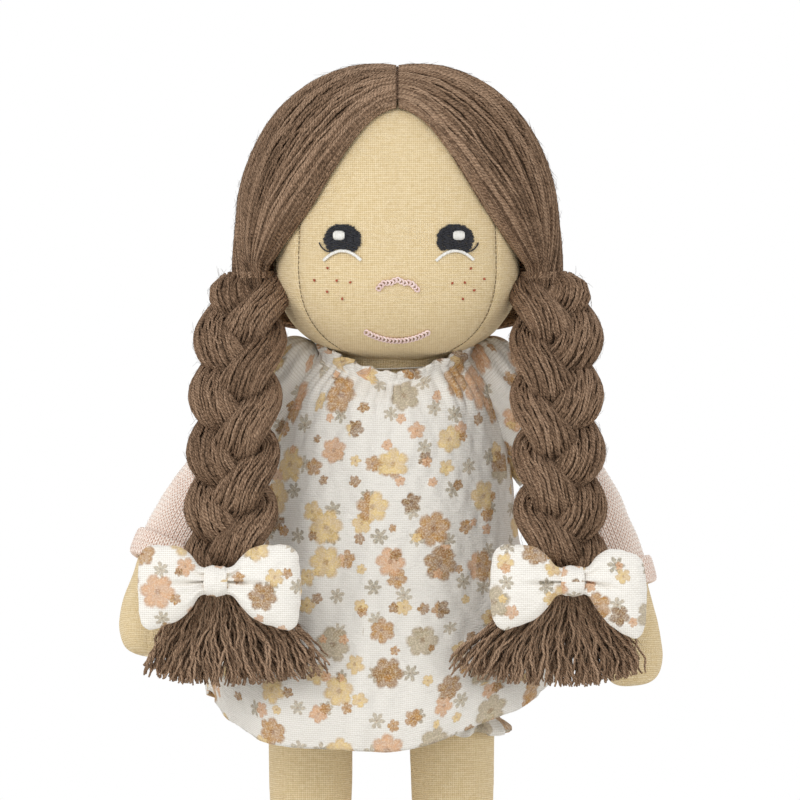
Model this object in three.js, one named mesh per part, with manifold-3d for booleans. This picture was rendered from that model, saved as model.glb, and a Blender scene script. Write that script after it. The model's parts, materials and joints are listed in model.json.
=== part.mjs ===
// Cloth doll with a wool wig in two braids, a printed gauze dress over a knitted pullover,
// and gathered bloomers.
// Millimetres, +Z up. The doll faces -Y, and left and right are the doll's own, so its left is +X.

import * as THREE from 'three';
import { mergeVertices } from 'three/addons/utils/BufferGeometryUtils.js';
import Module from 'manifold-3d';

const wasm = await Module();
wasm.setup();

// Cloth thicknesses and clearances
const SEAT_GAP = 0.3;
const CURVE_GAP = 0.9; // between faceted surfaces whose facets don't line up
const WIG_LIFT = 1.8; // the same for the wig, whose facets are larger
const SKIN = 1.0;
const GAUZE = 0.9;
const KNIT = 2.2;

// Heights, stacked from the soles up
const SOLE_THICKNESS = 1.6;
const LEG_LENGTH = 121;
const TORSO_LENGTH = 108;
const NECK_SHOWN = 7.5;
const HEAD_DROP = 35.5; // from the widest level of the head down to the chin
const HEAD_RISE = 73; // and up to the crown

// Head
const HEAD_HALF_WIDTH = 47.5;
const FACE_DEPTH = 46;
const HEAD_BACK_DEPTH = 50;
const HEAD_SQUARENESS = 2.35;
const CHEEK_SEAM_DEG = 51;
const BACK_SEAM_DEG = 125;
const NECK_HALF_WIDTH = 23;
const NECK_HALF_DEPTH = 18;

// Wig
const WIG_SIDE_THICKNESS = 15.8;
const WIG_TOP_THICKNESS = 5;
const WIG_FRONT_THICKNESS = 5;
const WIG_BACK_THICKNESS = 10;
const WIG_EDGE_THICKNESS = 4;
const PARTING_FRONT_DEG = 27;
const PARTING_BACK_DEG = -117;
const PARTING_HALF_WIDTH = 1.4;
const PARTING_WIDENING = 3; // of the bare strip beside the seam, down to the ties
const ARRIVAL_DEG = 110; // the strands come into each tie from this far round, in front and behind

// Hair ties and braids
const TIE_OUT = 7.8; // from the widest part of the head to the middle of the tie
const TIE_Y = -10;
const TIE_BELOW_WIDEST = 4;
const TIE_RADIUS = 7;
const TIE_BAND = 1.2;
const TIE_HEIGHT = 3.4;
const BRAID_LENGTH = 112;
const BRAID_SPREAD = 12.8; // sideways swing of each lock about the braid's centre
const BRAID_DEPTH_SHARE = 0.78;
const BRAID_TURN_DEG = 22; // how far each braid's front is turned outwards
const BRAID_TOP_SPREAD = 5.6;
const BRAID_END_RADIUS = 8.6; // inside of the tie at the braid's end
const LOCK_SHARE = 0.3; // half the thickness of a lock as a share of the spread
const LOCK_FLATNESS = 1.45; // how much wider than thick a lock is
const CROSSING_LENGTH = 64; // braid length in which a lock comes back to its side
const BRAID_OUT = 14.4; // how far out of the hair tie the braid ends
const BRAID_FORWARD = 38; // and how far in front of it
const TASSEL_LENGTH = 38;
const TASSEL_HALF_WIDTH = 31;
const TASSEL_HALF_DEPTH = 8;
const BOW_HALF_WIDTH = 31;
const BOW_HALF_HEIGHT = 17.5;
const BOW_HALF_DEPTH = 5.5;
const BOW_KNOT_WIDTH = 8.6;
const BOW_KNOT_RADIUS = 5.6;
const BOW_KNOT_WALL = 1.2;

// Torso, arms and legs
const HIP_SHIFT = -6.2; // the doll stands with its hips a little to its right
const TORSO_HALF_WIDTH = 36;
const TORSO_HALF_DEPTH = 23;
const SHOULDER_OUT = 5; // from the side of the torso to the middle of the shoulder
const SHOULDER_BELOW_NECK = 7;
const SHOULDER_Y = 5;
const ARM_RADIUS = 12.6;
const LEG_RADIUS = 16.2;
const LEG_GAP = 22.6; // between the two legs
const FOOT_LENGTH = 52;
const FOOT_HALF_WIDTH = 16.8;
const FOOT_HEIGHT = 27;
const HEEL_Y = 17;

// Clothes
const DRESS_LENGTH = 144;
const NECKLINE_EASE = 5; // round the neck
const NECKLINE_ABOVE = 2; // the front of the neckline above the base of the neck
const NECKLINE_RISE = 8; // and its sides above its front
const HEM_HALF_WIDTH = 68;
const HEM_HALF_DEPTH = 51;
const DRESS_FOLDS = 15;
const HEM_RISE = 19; // at the sides
const HEM_EXTRA_RISE = 6; // at the doll's left side
const SLEEVE_LENGTH = 82;
const CUFF_LENGTH = 9;
const DRESS_SLEEVE_LENGTH = 34;
const PULLOVER_LENGTH = 88;
const BLOOMER_LENGTH = 29; // from the hips down to the ruffle
const BLOOMER_LEG_HEIGHT = 18;
const BLOOMER_EASE = 5; // of the gathered leg round the doll's leg

// Ranges of the moving parts, in degrees, which decide where the pieces are cut back
const ARM_RAISE = 60;
const LEG_BACK = -25;
const LEG_FORWARD = 30;
const BRAID_SWING = 40;

// Places worked out from the sizes above
const HIP_Z = LEG_LENGTH;
const NECK_Z = HIP_Z + TORSO_LENGTH;
const HEAD_Z = NECK_Z + NECK_SHOWN + HEAD_DROP;
const SHOULDER_Z = NECK_Z - SHOULDER_BELOW_NECK;
const TIE_X = HEAD_HALF_WIDTH + TIE_OUT;
const TIE_Z = HEAD_Z - TIE_BELOW_WIDEST;
const BRAID_PIVOT_Z = TIE_Z - TIE_HEIGHT / 2 - SEAT_GAP - TIE_RADIUS;
const BRAID_TOP_Z = TIE_Z - TIE_HEIGHT / 2 - 5 * SEAT_GAP;
const BRAID_END_Z = BRAID_TOP_Z - BRAID_LENGTH;
const SHOULDER_SPAN = TORSO_HALF_WIDTH + SHOULDER_OUT;
const LEG_SPAN = LEG_RADIUS + LEG_GAP / 2;
const NECKLINE_HALF_WIDTH = NECK_HALF_WIDTH + NECKLINE_EASE;
const NECKLINE_HALF_DEPTH = NECK_HALF_DEPTH + NECKLINE_EASE;
const SIDES = { left: 1, right: -1 };

const vec = (x, y, z) => new THREE.Vector3(x, y, z);
const radians = THREE.MathUtils.degToRad;
const lerp = THREE.MathUtils.lerp;

// Nothing at one value and all at the other, with a soft start and end; the first may be the larger.
function smooth(from, to, value) {
  const t = THREE.MathUtils.clamp((value - from) / (to - from), 0, 1);
  return t * t * (3 - 2 * t);
}

// How far the body leans to its right at a height: nothing at the head, all of it at the hips.
function lean(z) {
  return HIP_SHIFT * smooth(HEAD_Z, HIP_Z, z);
}

// A smooth value from a short table of [place, value] rows.
function along(table, place) {
  const last = table.length - 1;
  if (place <= table[0][0]) return table[0][1];
  if (place >= table[last][0]) return table[last][1];
  const i = table.findIndex((row) => row[0] > place) - 1;
  const slope = (k) => {
    const a = Math.max(k - 1, 0);
    const b = Math.min(k + 1, last);
    return (table[b][1] - table[a][1]) / (table[b][0] - table[a][0]);
  };
  const width = table[i + 1][0] - table[i][0];
  const t = (place - table[i][0]) / width;
  const start = table[i][1];
  const end = table[i + 1][1];
  const bend = width * (slope(i) * t * (1 - t) ** 2 - slope(i + 1) * t * t * (1 - t));
  return start + (end - start) * t * t * (3 - 2 * t) + bend;
}

// Geometry from points and triangles, with its faces pointing out.
function closed(points, triangles) {
  const geometry = new THREE.BufferGeometry();
  const numbers = points.flatMap((p) => [p.x, p.y, p.z]);
  geometry.setAttribute('position', new THREE.Float32BufferAttribute(numbers, 3));
  let volume = 0;
  for (const [a, b, c] of triangles) {
    volume += points[a].dot(vec(0, 0, 0).crossVectors(points[b], points[c]));
  }
  const outward = volume > 0 ? triangles : triangles.map(([a, b, c]) => [a, c, b]);
  geometry.setIndex(outward.flat());
  return mergeVertices(geometry, 1e-5);
}

// A solid through closed rings of points, with each end drawn to its middle.
function loft(rings) {
  const count = rings[0].length;
  const points = rings.flat();
  const triangles = [];
  for (let i = 0; i < rings.length - 1; i++) {
    for (let j = 0; j < count; j++) {
      const k = (j + 1) % count;
      const a = i * count;
      const b = a + count;
      triangles.push([a + j, a + k, b + k], [a + j, b + k, b + j]);
    }
  }
  const lastStart = (rings.length - 1) * count;
  const ends = [[rings[0], 0, true], [rings.at(-1), lastStart, false]];
  for (const [ring, start, flip] of ends) {
    const middle = ring.reduce((sum, p) => sum.add(p), vec(0, 0, 0)).divideScalar(count);
    points.push(middle);
    for (let j = 0; j < count; j++) {
      const k = (j + 1) % count;
      const face = [start + j, start + k, points.length - 1];
      triangles.push(flip ? face.reverse() : face);
    }
  }
  return closed(points, triangles);
}

// A sheet of cloth between two grids of points that face each other.
function sheet(outer, inner) {
  const rows = outer.length;
  const count = outer[0].length;
  const points = [...outer.flat(), ...inner.flat()];
  const size = rows * count;
  const at = (i, j) => i * count + j;
  const triangles = [];
  const quad = (a, b, c, d) => triangles.push([a, b, c], [a, c, d]);
  for (let i = 0; i < rows - 1; i++) {
    for (let j = 0; j < count - 1; j++) {
      quad(at(i, j), at(i, j + 1), at(i + 1, j + 1), at(i + 1, j));
      quad(size + at(i, j), size + at(i + 1, j), size + at(i + 1, j + 1), size + at(i, j + 1));
    }
  }
  const rim = [];
  for (let j = 0; j < count - 1; j++) rim.push(at(0, j));
  for (let i = 0; i < rows - 1; i++) rim.push(at(i, count - 1));
  for (let j = count - 1; j > 0; j--) rim.push(at(rows - 1, j));
  for (let i = rows - 1; i > 0; i--) rim.push(at(i, 0));
  rim.forEach((a, n) => {
    const b = rim[(n + 1) % rim.length];
    quad(b, a, size + a, size + b);
  });
  return closed(points, triangles);
}

// A flat patch, such as a filled piece of embroidery, from an outline to its middle.
function patch(outlineAt, pointAt, lift, thickness, corners = 18, steps = 2) {
  const layer = (grow) => {
    const points = [pointAt(0, 0, 0, grow)];
    for (let i = 1; i <= steps; i++) {
      for (let j = 0; j < corners; j++) {
        const [x, z] = outlineAt((j / corners) * 2 * Math.PI);
        points.push(pointAt(x, z, i / steps, grow));
      }
    }
    return points;
  };
  const top = layer(lift + thickness);
  const points = [...top, ...layer(lift)];
  const size = top.length;
  const triangles = [];
  const ring = (i, j) => 1 + (i - 1) * corners + (j % corners);
  for (let j = 0; j < corners; j++) {
    triangles.push([0, ring(1, j), ring(1, j + 1)]);
    triangles.push([size, size + ring(1, j + 1), size + ring(1, j)]);
    for (let i = 1; i < steps; i++) {
      triangles.push([ring(i, j), ring(i + 1, j), ring(i + 1, j + 1)]);
      triangles.push([ring(i, j), ring(i + 1, j + 1), ring(i, j + 1)]);
      triangles.push([size + ring(i, j), size + ring(i + 1, j + 1), size + ring(i + 1, j)]);
      triangles.push([size + ring(i, j), size + ring(i, j + 1), size + ring(i + 1, j + 1)]);
    }
    const a = ring(steps, j);
    const b = ring(steps, j + 1);
    triangles.push([a, size + a, size + b], [a, size + b, b]);
  }
  return closed(points, triangles);
}

// A round thread along a curve.
function thread(points, radius, steps = 8, sides = 6) {
  const section = new THREE.Shape();
  section.absarc(0, 0, radius, 0, 2 * Math.PI);
  const settings = {
    steps,
    curveSegments: sides / 2,
    bevelEnabled: false,
    extrudePath: new THREE.CatmullRomCurve3(points),
  };
  const geometry = new THREE.ExtrudeGeometry(section, settings);
  geometry.deleteAttribute('normal');
  geometry.deleteAttribute('uv');
  return mergeVertices(geometry, 1e-5);
}

// Joining and cutting
function solidOf(geometry) {
  const plain = new THREE.BufferGeometry();
  plain.setAttribute('position', geometry.getAttribute('position'));
  plain.setIndex(geometry.getIndex());
  const merged = mergeVertices(plain, 1e-5);
  const mesh = new wasm.Mesh({
    numProp: 3,
    vertProperties: new Float32Array(merged.getAttribute('position').array),
    triVerts: new Uint32Array(merged.getIndex().array),
  });
  return new wasm.Manifold(mesh);
}

function geometryOf(solid) {
  const mesh = solid.getMesh();
  const geometry = new THREE.BufferGeometry();
  geometry.setAttribute('position', new THREE.Float32BufferAttribute(mesh.vertProperties, 3));
  geometry.setIndex(new THREE.Uint32BufferAttribute(mesh.triVerts, 1));
  return geometry;
}

function cut(geometry, ...tools) {
  let solid = solidOf(geometry);
  for (const tool of tools) solid = solid.subtract(solidOf(tool));
  return geometryOf(solid);
}

function join(first, ...others) {
  let solid = solidOf(first);
  for (const other of others) solid = solid.add(solidOf(other));
  return geometryOf(solid);
}

function block(low, high) {
  const size = high.clone().sub(low);
  const middle = low.clone().add(high).multiplyScalar(0.5);
  return new THREE.BoxGeometry(size.x, size.y, size.z).translate(middle.x, middle.y, middle.z);
}

const FAR = 400;
const below = (z) => block(vec(-FAR, -FAR, z - FAR), vec(FAR, FAR, z));
const above = (z) => block(vec(-FAR, -FAR, z), vec(FAR, FAR, z + FAR));
const behind = (y) => block(vec(-FAR, y, -FAR), vec(FAR, y + FAR, FAR));
const inFrontOf = (y) => block(vec(-FAR, y - FAR, -FAR), vec(FAR, y, FAR));

// A shape turned about an axis through a pivot.
function turned(geometry, pivot, axis, degrees) {
  const turn = new THREE.Matrix4().makeRotationAxis(axis, radians(degrees));
  const place = new THREE.Matrix4().makeTranslation(pivot.x, pivot.y, pivot.z);
  const back = new THREE.Matrix4().makeTranslation(-pivot.x, -pivot.y, -pivot.z);
  return geometry.clone().applyMatrix4(place.multiply(turn).multiply(back));
}

// All the room that a shape takes up while it turns.
function sweep(geometry, pivot, axis, from, to, step = 7.5) {
  let room = solidOf(turned(geometry, pivot, axis, from));
  const turns = Math.ceil((to - from) / step);
  for (let i = 1; i <= turns; i++) {
    room = room.add(solidOf(turned(geometry, pivot, axis, lerp(from, to, i / turns))));
  }
  return geometryOf(room);
}

// An oval ring of points in a level plane.
function oval(x, y, z, halfWidth, halfDepth, count) {
  const ring = [];
  for (let j = 0; j < count; j++) {
    const turn = (j / count) * 2 * Math.PI;
    ring.push(vec(x + halfWidth * Math.sin(turn), y - halfDepth * Math.cos(turn), z));
  }
  return ring;
}

// Head

// The distance from the head's middle to its surface in a direction.
function headReach(direction, grow = 0) {
  const wide = HEAD_HALF_WIDTH + grow;
  const deep = (direction.y < 0 ? FACE_DEPTH : HEAD_BACK_DEPTH) + grow;
  const high = (direction.z < 0 ? HEAD_DROP : HEAD_RISE) + grow;
  const power = HEAD_SQUARENESS;
  const sum =
    (Math.abs(direction.x) / wide) ** power +
    (Math.abs(direction.y) / deep) ** power +
    (Math.abs(direction.z) / high) ** power;
  return sum ** (-1 / power);
}

function headPoint(direction, grow = 0) {
  return direction.clone().multiplyScalar(headReach(direction, grow)).add(vec(0, 0, HEAD_Z));
}

// A direction from its compass angle, 0 at the face, and its height angle.
function facing(compassDeg, heightDeg) {
  const compass = radians(compassDeg);
  const height = radians(heightDeg);
  const level = Math.cos(height);
  return vec(Math.sin(compass) * level, -Math.cos(compass) * level, Math.sin(height));
}

const HEAD_ROWS = 10;
const HEAD_TOP_DEG = 86;

function headPanel(fromDeg, toDeg, columns) {
  const halfSeam = 0.25;
  const grid = (grow) => {
    const rows = [];
    for (let i = 0; i <= HEAD_ROWS; i++) {
      const height = lerp(-HEAD_TOP_DEG, HEAD_TOP_DEG, i / HEAD_ROWS);
      const row = [];
      for (let j = 0; j <= columns; j++) {
        const compass = lerp(fromDeg + halfSeam, toDeg - halfSeam, j / columns);
        row.push(headPoint(facing(compass, height), grow));
      }
      rows.push(row);
    }
    return rows;
  };
  return sheet(grid(0), grid(-SKIN));
}

function headSolid(grow, columns = 16, rows = 9) {
  const rings = [];
  for (let i = 0; i <= rows; i++) {
    const height = lerp(-HEAD_TOP_DEG, HEAD_TOP_DEG, i / rows);
    const ring = [];
    for (let j = 0; j < columns; j++) ring.push(headPoint(facing((j / columns) * 360, height), grow));
    rings.push(ring);
  }
  return loft(rings);
}

// A point on the face, from its place across and above the head's widest level.
function facePoint(x, z, grow) {
  const power = HEAD_SQUARENESS;
  const high = (z < 0 ? HEAD_DROP : HEAD_RISE) + grow;
  const left = 1 - (Math.abs(x) / (HEAD_HALF_WIDTH + grow)) ** power - (Math.abs(z) / high) ** power;
  return vec(x, -(FACE_DEPTH + grow) * left ** (1 / power), HEAD_Z + z);
}

// Embroidery
const EYE_X = 21.5;
const EYE_ABOVE = 10;
const EYE_HALF_WIDTH = 7;
const EYE_HALF_HEIGHT = 5.8;
const HIGHLIGHT_OUT = 1.4;
const HIGHLIGHT_UP = 1.8;
const HIGHLIGHT_HALF_WIDTH = 2.3;
const LID_HALF_WIDTH = 7;
const LID_TOP_ABOVE = 6.1;
const LID_DROP = 3.4;
const NOSE_ABOVE = -5.2;
const NOSE_HALF_WIDTH = 7.7;
const NOSE_DROP = 3.2;
const MOUTH_ABOVE = -28.8;
const MOUTH_HALF_WIDTH = 12.5;
const MOUTH_RISE = 3.6;
const STITCH_THICKNESS = 0.7;
const THREAD_RADIUS = 0.6;

function lidAbove(x) {
  return LID_TOP_ABOVE - LID_DROP * (x / LID_HALF_WIDTH) ** 2;
}

function eye(side) {
  const outline = (turn) => [EYE_HALF_WIDTH * Math.cos(turn), EYE_HALF_HEIGHT * Math.sin(turn)];
  const place = (x, z, share, grow) => {
    const across = x * share;
    const rest = EYE_ABOVE + z * share;
    const lowest = lidAbove(across) + THREAD_RADIUS + SEAT_GAP;
    return facePoint(side * EYE_X + across, Math.max(rest, lowest + 0.15 * share * (1 - share)), grow);
  };
  return patch(outline, place, SEAT_GAP, STITCH_THICKNESS);
}

function highlight(side) {
  const wide = HIGHLIGHT_HALF_WIDTH;
  const outline = (turn) => [wide * Math.cos(turn), wide * 0.86 * Math.sin(turn)];
  const x = side * (EYE_X + HIGHLIGHT_OUT);
  const z = EYE_ABOVE + HIGHLIGHT_UP;
  const place = (dx, dz, share, grow) => facePoint(x + dx * share, z + dz * share, grow);
  return patch(outline, place, 2 * SEAT_GAP + STITCH_THICKNESS, STITCH_THICKNESS / 2, 12, 1);
}

function faceThread(heightAt, middleX, halfWidth, radius) {
  const points = [];
  for (let i = 0; i <= 8; i++) {
    const across = lerp(-halfWidth, halfWidth, i / 8);
    points.push(facePoint(middleX + across, heightAt(across), SEAT_GAP + radius));
  }
  return thread(points, radius);
}

const lowerLid = (side) => faceThread(lidAbove, side * EYE_X, LID_HALF_WIDTH, THREAD_RADIUS);
const noseAt = (x) => NOSE_ABOVE - NOSE_DROP * (x / NOSE_HALF_WIDTH) ** 2;
const mouthAt = (x) => MOUTH_ABOVE + MOUTH_RISE * (x / MOUTH_HALF_WIDTH) ** 2;

// Wig: strands run from the parting over the head to the tie at each side.
const HAIRLINE_PULL = vec(0.38, -0.8, 0.38);
const WIG_ROWS = 12;
const WIG_COLUMNS = 8;
const tieDirection = vec(TIE_X, TIE_Y, -TIE_BELOW_WIDEST).normalize();

// The direction of a strand at share t of its way, and at share s of the parting from forehead to nape.
function strandDirection(s, t) {
  const angle = radians(lerp(PARTING_FRONT_DEG, PARTING_BACK_DEG, s));
  const start = vec(0, -Math.sin(angle), Math.cos(angle));
  const plain = start.clone().add(tieDirection).normalize();
  const pull = HAIRLINE_PULL.clone().lerp(plain, smooth(0, 0.25, s));
  const point = start.clone().multiplyScalar((1 - t) ** 2);
  point.addScaledVector(pull, 2 * t * (1 - t));
  point.addScaledVector(tieDirection, t * t);
  return point.normalize();
}

function wigReach(direction) {
  const deep = direction.y < 0 ? FACE_DEPTH + WIG_FRONT_THICKNESS : HEAD_BACK_DEPTH + WIG_BACK_THICKNESS;
  const high = direction.z < 0 ? HEAD_DROP + WIG_TOP_THICKNESS : HEAD_RISE + WIG_TOP_THICKNESS;
  const power = HEAD_SQUARENESS;
  const sum =
    (Math.abs(direction.x) / (HEAD_HALF_WIDTH + WIG_SIDE_THICKNESS)) ** power +
    (Math.abs(direction.y) / deep) ** power +
    (Math.abs(direction.z) / high) ** power;
  return sum ** (-1 / power);
}

function hairHalf(side) {
  const outer = [];
  const inner = [];
  const bundle = TIE_RADIUS - SEAT_GAP;
  const bundleCore = 0.3 * bundle;
  for (let i = 0; i <= WIG_ROWS; i++) {
    const s = i / WIG_ROWS;
    const arrival = radians(lerp(-ARRIVAL_DEG, ARRIVAL_DEG, s));
    const outerRow = [];
    const innerRow = [];
    for (let j = 0; j <= WIG_COLUMNS + 1; j++) {
      const t = Math.min(j / WIG_COLUMNS, 1);
      const direction = strandDirection(s, Math.min(t, 0.97));
      const thin = headReach(direction) + WIG_EDGE_THICKNESS;
      const plump = smooth(0, 0.2, Math.min(s, 1.15 - s)) * smooth(-0.1, 0.16, t);
      const reach = lerp(Math.min(thin, wigReach(direction)), wigReach(direction), plump);
      const onWig = direction.clone().multiplyScalar(reach);
      const onHead = direction.clone().multiplyScalar(headReach(direction, WIG_LIFT));
      const innermost = PARTING_HALF_WIDTH + PARTING_WIDENING * t;
      onWig.x = Math.max(onWig.x, innermost);
      onHead.x = Math.max(onHead.x, innermost);
      const drop = j > WIG_COLUMNS ? TIE_HEIGHT / 2 : -TIE_HEIGHT;
      const ring = (radius) =>
        vec(TIE_X + radius * Math.cos(arrival), TIE_Y + radius * Math.sin(arrival), -TIE_BELOW_WIDEST - drop);
      const gathered = smooth(0.68, 1, t);
      outerRow.push(onWig.lerp(ring(bundle), gathered));
      innerRow.push(onHead.lerp(ring(bundleCore), gathered));
    }
    outer.push(outerRow);
    inner.push(innerRow);
  }
  for (const row of [...outer, ...inner]) {
    for (const p of row) p.set(side * p.x, p.y, p.z + HEAD_Z);
  }
  const tieRoom = band(TIE_RADIUS, TIE_BAND + SEAT_GAP, TIE_HEIGHT + 2 * SEAT_GAP);
  const tie = tieRoom.translate(side * TIE_X, TIE_Y, TIE_Z);
  return cut(sheet(outer, inner), tie);
}

function partingSeam() {
  const radius = PARTING_HALF_WIDTH - SEAT_GAP;
  const points = [];
  for (let i = 0; i <= 16; i++) {
    const direction = strandDirection(lerp(0.01, 0.97, i / 16), 0);
    points.push(headPoint(direction, CURVE_GAP + radius));
  }
  return thread(points, radius, 18);
}

// A flat band round an upright bundle, about its own middle.
function band(innerRadius, thickness, height, segments = 16) {
  const profile = [
    new THREE.Vector2(innerRadius, -height / 2),
    new THREE.Vector2(innerRadius + thickness, -height / 2),
    new THREE.Vector2(innerRadius + thickness, height / 2),
    new THREE.Vector2(innerRadius, height / 2),
    new THREE.Vector2(innerRadius, -height / 2),
  ];
  const ring = new THREE.LatheGeometry(profile, segments);
  ring.deleteAttribute('normal');
  ring.deleteAttribute('uv');
  return mergeVertices(ring, 1e-5).rotateX(Math.PI / 2);
}

// The hair tie with the bundle of hair in it.
function tieSolid(side, grow) {
  const radius = TIE_RADIUS + TIE_BAND + grow;
  const bundle = new THREE.CylinderGeometry(radius, radius, TIE_HEIGHT + 2 * grow, 12);
  return bundle.rotateX(Math.PI / 2).translate(side * TIE_X, TIE_Y, TIE_Z);
}

// Braids
const LOCK_STEPS = 28;
const LOCK_SIDES = 6;
const BRAID_END_SPREAD = (BRAID_END_RADIUS - CURVE_GAP) / (1 + LOCK_SHARE * LOCK_FLATNESS);

// The middle of the braid at a share of its length: over the shoulder, then straight down to the knot.
function braidMiddle(share) {
  const out = BRAID_OUT * along([[0, 0.03], [0.25, 0.36], [0.55, 0.6], [0.85, 0.85], [1, 1]], share);
  const forward = BRAID_FORWARD * along([[0, 0], [0.2, 0.38], [0.42, 0.78], [0.65, 0.94], [1, 1]], share);
  return vec(TIE_X + out, TIE_Y - forward, lerp(BRAID_TOP_Z, BRAID_END_Z, share));
}

function braidSpread(share) {
  const top = lerp(BRAID_TOP_SPREAD, BRAID_SPREAD, along([[0, 0], [0.12, 0.68], [0.26, 1]], share));
  const drawnIn = along([[0.7, 0], [0.8, 0.06], [0.93, 0.72], [1, 1]], share);
  const end = lerp(BRAID_SPREAD, BRAID_END_SPREAD * 0.8, drawnIn);
  return Math.min(top, end);
}

function lockPoint(number, share) {
  const turn = 2 * Math.PI * ((share * BRAID_LENGTH) / CROSSING_LENGTH + number / 3);
  const spread = braidSpread(share);
  const offset = vec(spread * Math.sin(turn), BRAID_DEPTH_SHARE * spread * Math.sin(2 * turn), 0);
  return offset.applyAxisAngle(vec(0, 0, 1), radians(BRAID_TURN_DEG)).add(braidMiddle(share));
}

function braidLock(side, number) {
  const rings = [];
  for (let i = 0; i <= LOCK_STEPS; i++) {
    const share = i / LOCK_STEPS;
    const here = lockPoint(number, share);
    const before = lockPoint(number, Math.max(share - 0.004, 0));
    const ahead = lockPoint(number, Math.min(share + 0.004, 1)).sub(before);
    ahead.normalize();
    const flat = vec(1, 0, 0).applyAxisAngle(vec(0, 0, 1), radians(BRAID_TURN_DEG));
    const across = flat.addScaledVector(ahead, -ahead.dot(flat)).normalize();
    const front = vec(0, 0, 0).crossVectors(ahead, across);
    const rounded = i === 0 || i === LOCK_STEPS ? 0.7 : 1;
    const radius = rounded * LOCK_SHARE * braidSpread(share);
    const ring = [];
    for (let j = 0; j < LOCK_SIDES; j++) {
      const turn = (j / LOCK_SIDES) * 2 * Math.PI;
      const point = here.clone();
      point.addScaledVector(across, LOCK_FLATNESS * radius * Math.cos(turn));
      point.addScaledVector(front, radius * Math.sin(turn));
      if (i === LOCK_STEPS) point.z = here.z;
      ring.push(vec(side * point.x, point.y, point.z));
    }
    rings.push(ring);
  }
  return loft(rings);
}

// The fan of loose yarn below the tie, about the middle of its top.
function tassel() {
  const grooves = 8;
  const sides = 32;
  const sideRise = 5;
  const shape = [[0, 0, 0.8], [0.12, 0.08, 0.95], [0.45, 0.5, 1.05], [0.8, 0.87, 1], [1, 1, 0.85]];
  const rings = [];
  for (const [down, wide, deep] of shape) {
    const halfWidth = lerp(BRAID_END_RADIUS - TIE_BAND, TASSEL_HALF_WIDTH, wide);
    const ring = [];
    for (let j = 0; j < sides; j++) {
      const turn = (j / sides) * 2 * Math.PI;
      const swell = 1 + 0.06 * down * Math.cos(grooves * turn);
      const droop = down * (TASSEL_LENGTH - sideRise * Math.sin(turn) ** 2);
      const y = -TASSEL_HALF_DEPTH * deep * swell * Math.cos(turn);
      ring.push(vec(halfWidth * swell * Math.sin(turn), y, -droop));
    }
    rings.push(ring);
  }
  return loft(rings);
}

// Both wings of a bow, pinched in the middle, about its own middle.
function bow() {
  const rings = [];
  const stations = 14;
  const pinched = BOW_KNOT_RADIUS - BOW_KNOT_WALL - 2 * SEAT_GAP;
  const heights = [[0, 0.5], [0.5, 0.75], [0.85, 1], [0.97, 0.96], [1, 0.86]];
  const depths = [[0, 1], [0.45, 1], [0.8, 0.8], [1, 0.2]];
  for (let i = 0; i <= stations; i++) {
    const x = lerp(-1, 1, i / stations);
    const out = Math.abs(x);
    const open = smooth(BOW_KNOT_WIDTH / 2 / BOW_HALF_WIDTH, 0.6, out);
    const high = lerp(pinched, BOW_HALF_HEIGHT * along(heights, out), open);
    const deep = lerp(pinched, BOW_HALF_DEPTH * along(depths, out), open);
    const ring = [];
    for (let j = 0; j < 12; j++) {
      const turn = (j / 12) * 2 * Math.PI;
      const crease = 1 - 0.3 * Math.cos(turn) ** 6 * smooth(0.9, 0.2, out);
      ring.push(vec(x * BOW_HALF_WIDTH, deep * crease * Math.sin(turn), high * Math.cos(turn)));
    }
    rings.push(ring);
  }
  return loft(rings);
}

// Arms: a soft tube along a curve, round at the shoulder and at the hand.
const ARMS = {
  left: { out: 52, forward: 9, down: 112 },
  right: { out: 53, forward: 14, down: 101 },
};
const ARM_BEND = [[0, 0, 0], [0.4, 0.1, 0.26], [0.74, 0.3, 0.52], [0.95, 0.65, 0.79], [1, 1, 1]];
const ARM_SHAPE = [[0, 1], [0.5, 0.96], [0.75, 0.88], [0.9, 0.96], [1, 0.98]];
const ARM_STEPS = 8;
const ARM_SIDES = 8;
const HAND_ROUND = 12;
const ROOM_SIDES = 10;
const ROOM_LENGTH = 60;
const CUFF_THICKNESS = 1.4;

const shoulderAt = (side) => vec(side * SHOULDER_SPAN + lean(SHOULDER_Z), SHOULDER_Y, SHOULDER_Z);

function armCurve(name) {
  const shoulder = shoulderAt(SIDES[name]);
  const { out, forward, down } = ARMS[name];
  const reach = vec(SIDES[name] * out, -forward, -down);
  const points = ARM_BEND.map((shares) => vec(...shares).multiply(reach).add(shoulder));
  return new THREE.CatmullRomCurve3(points);
}

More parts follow.
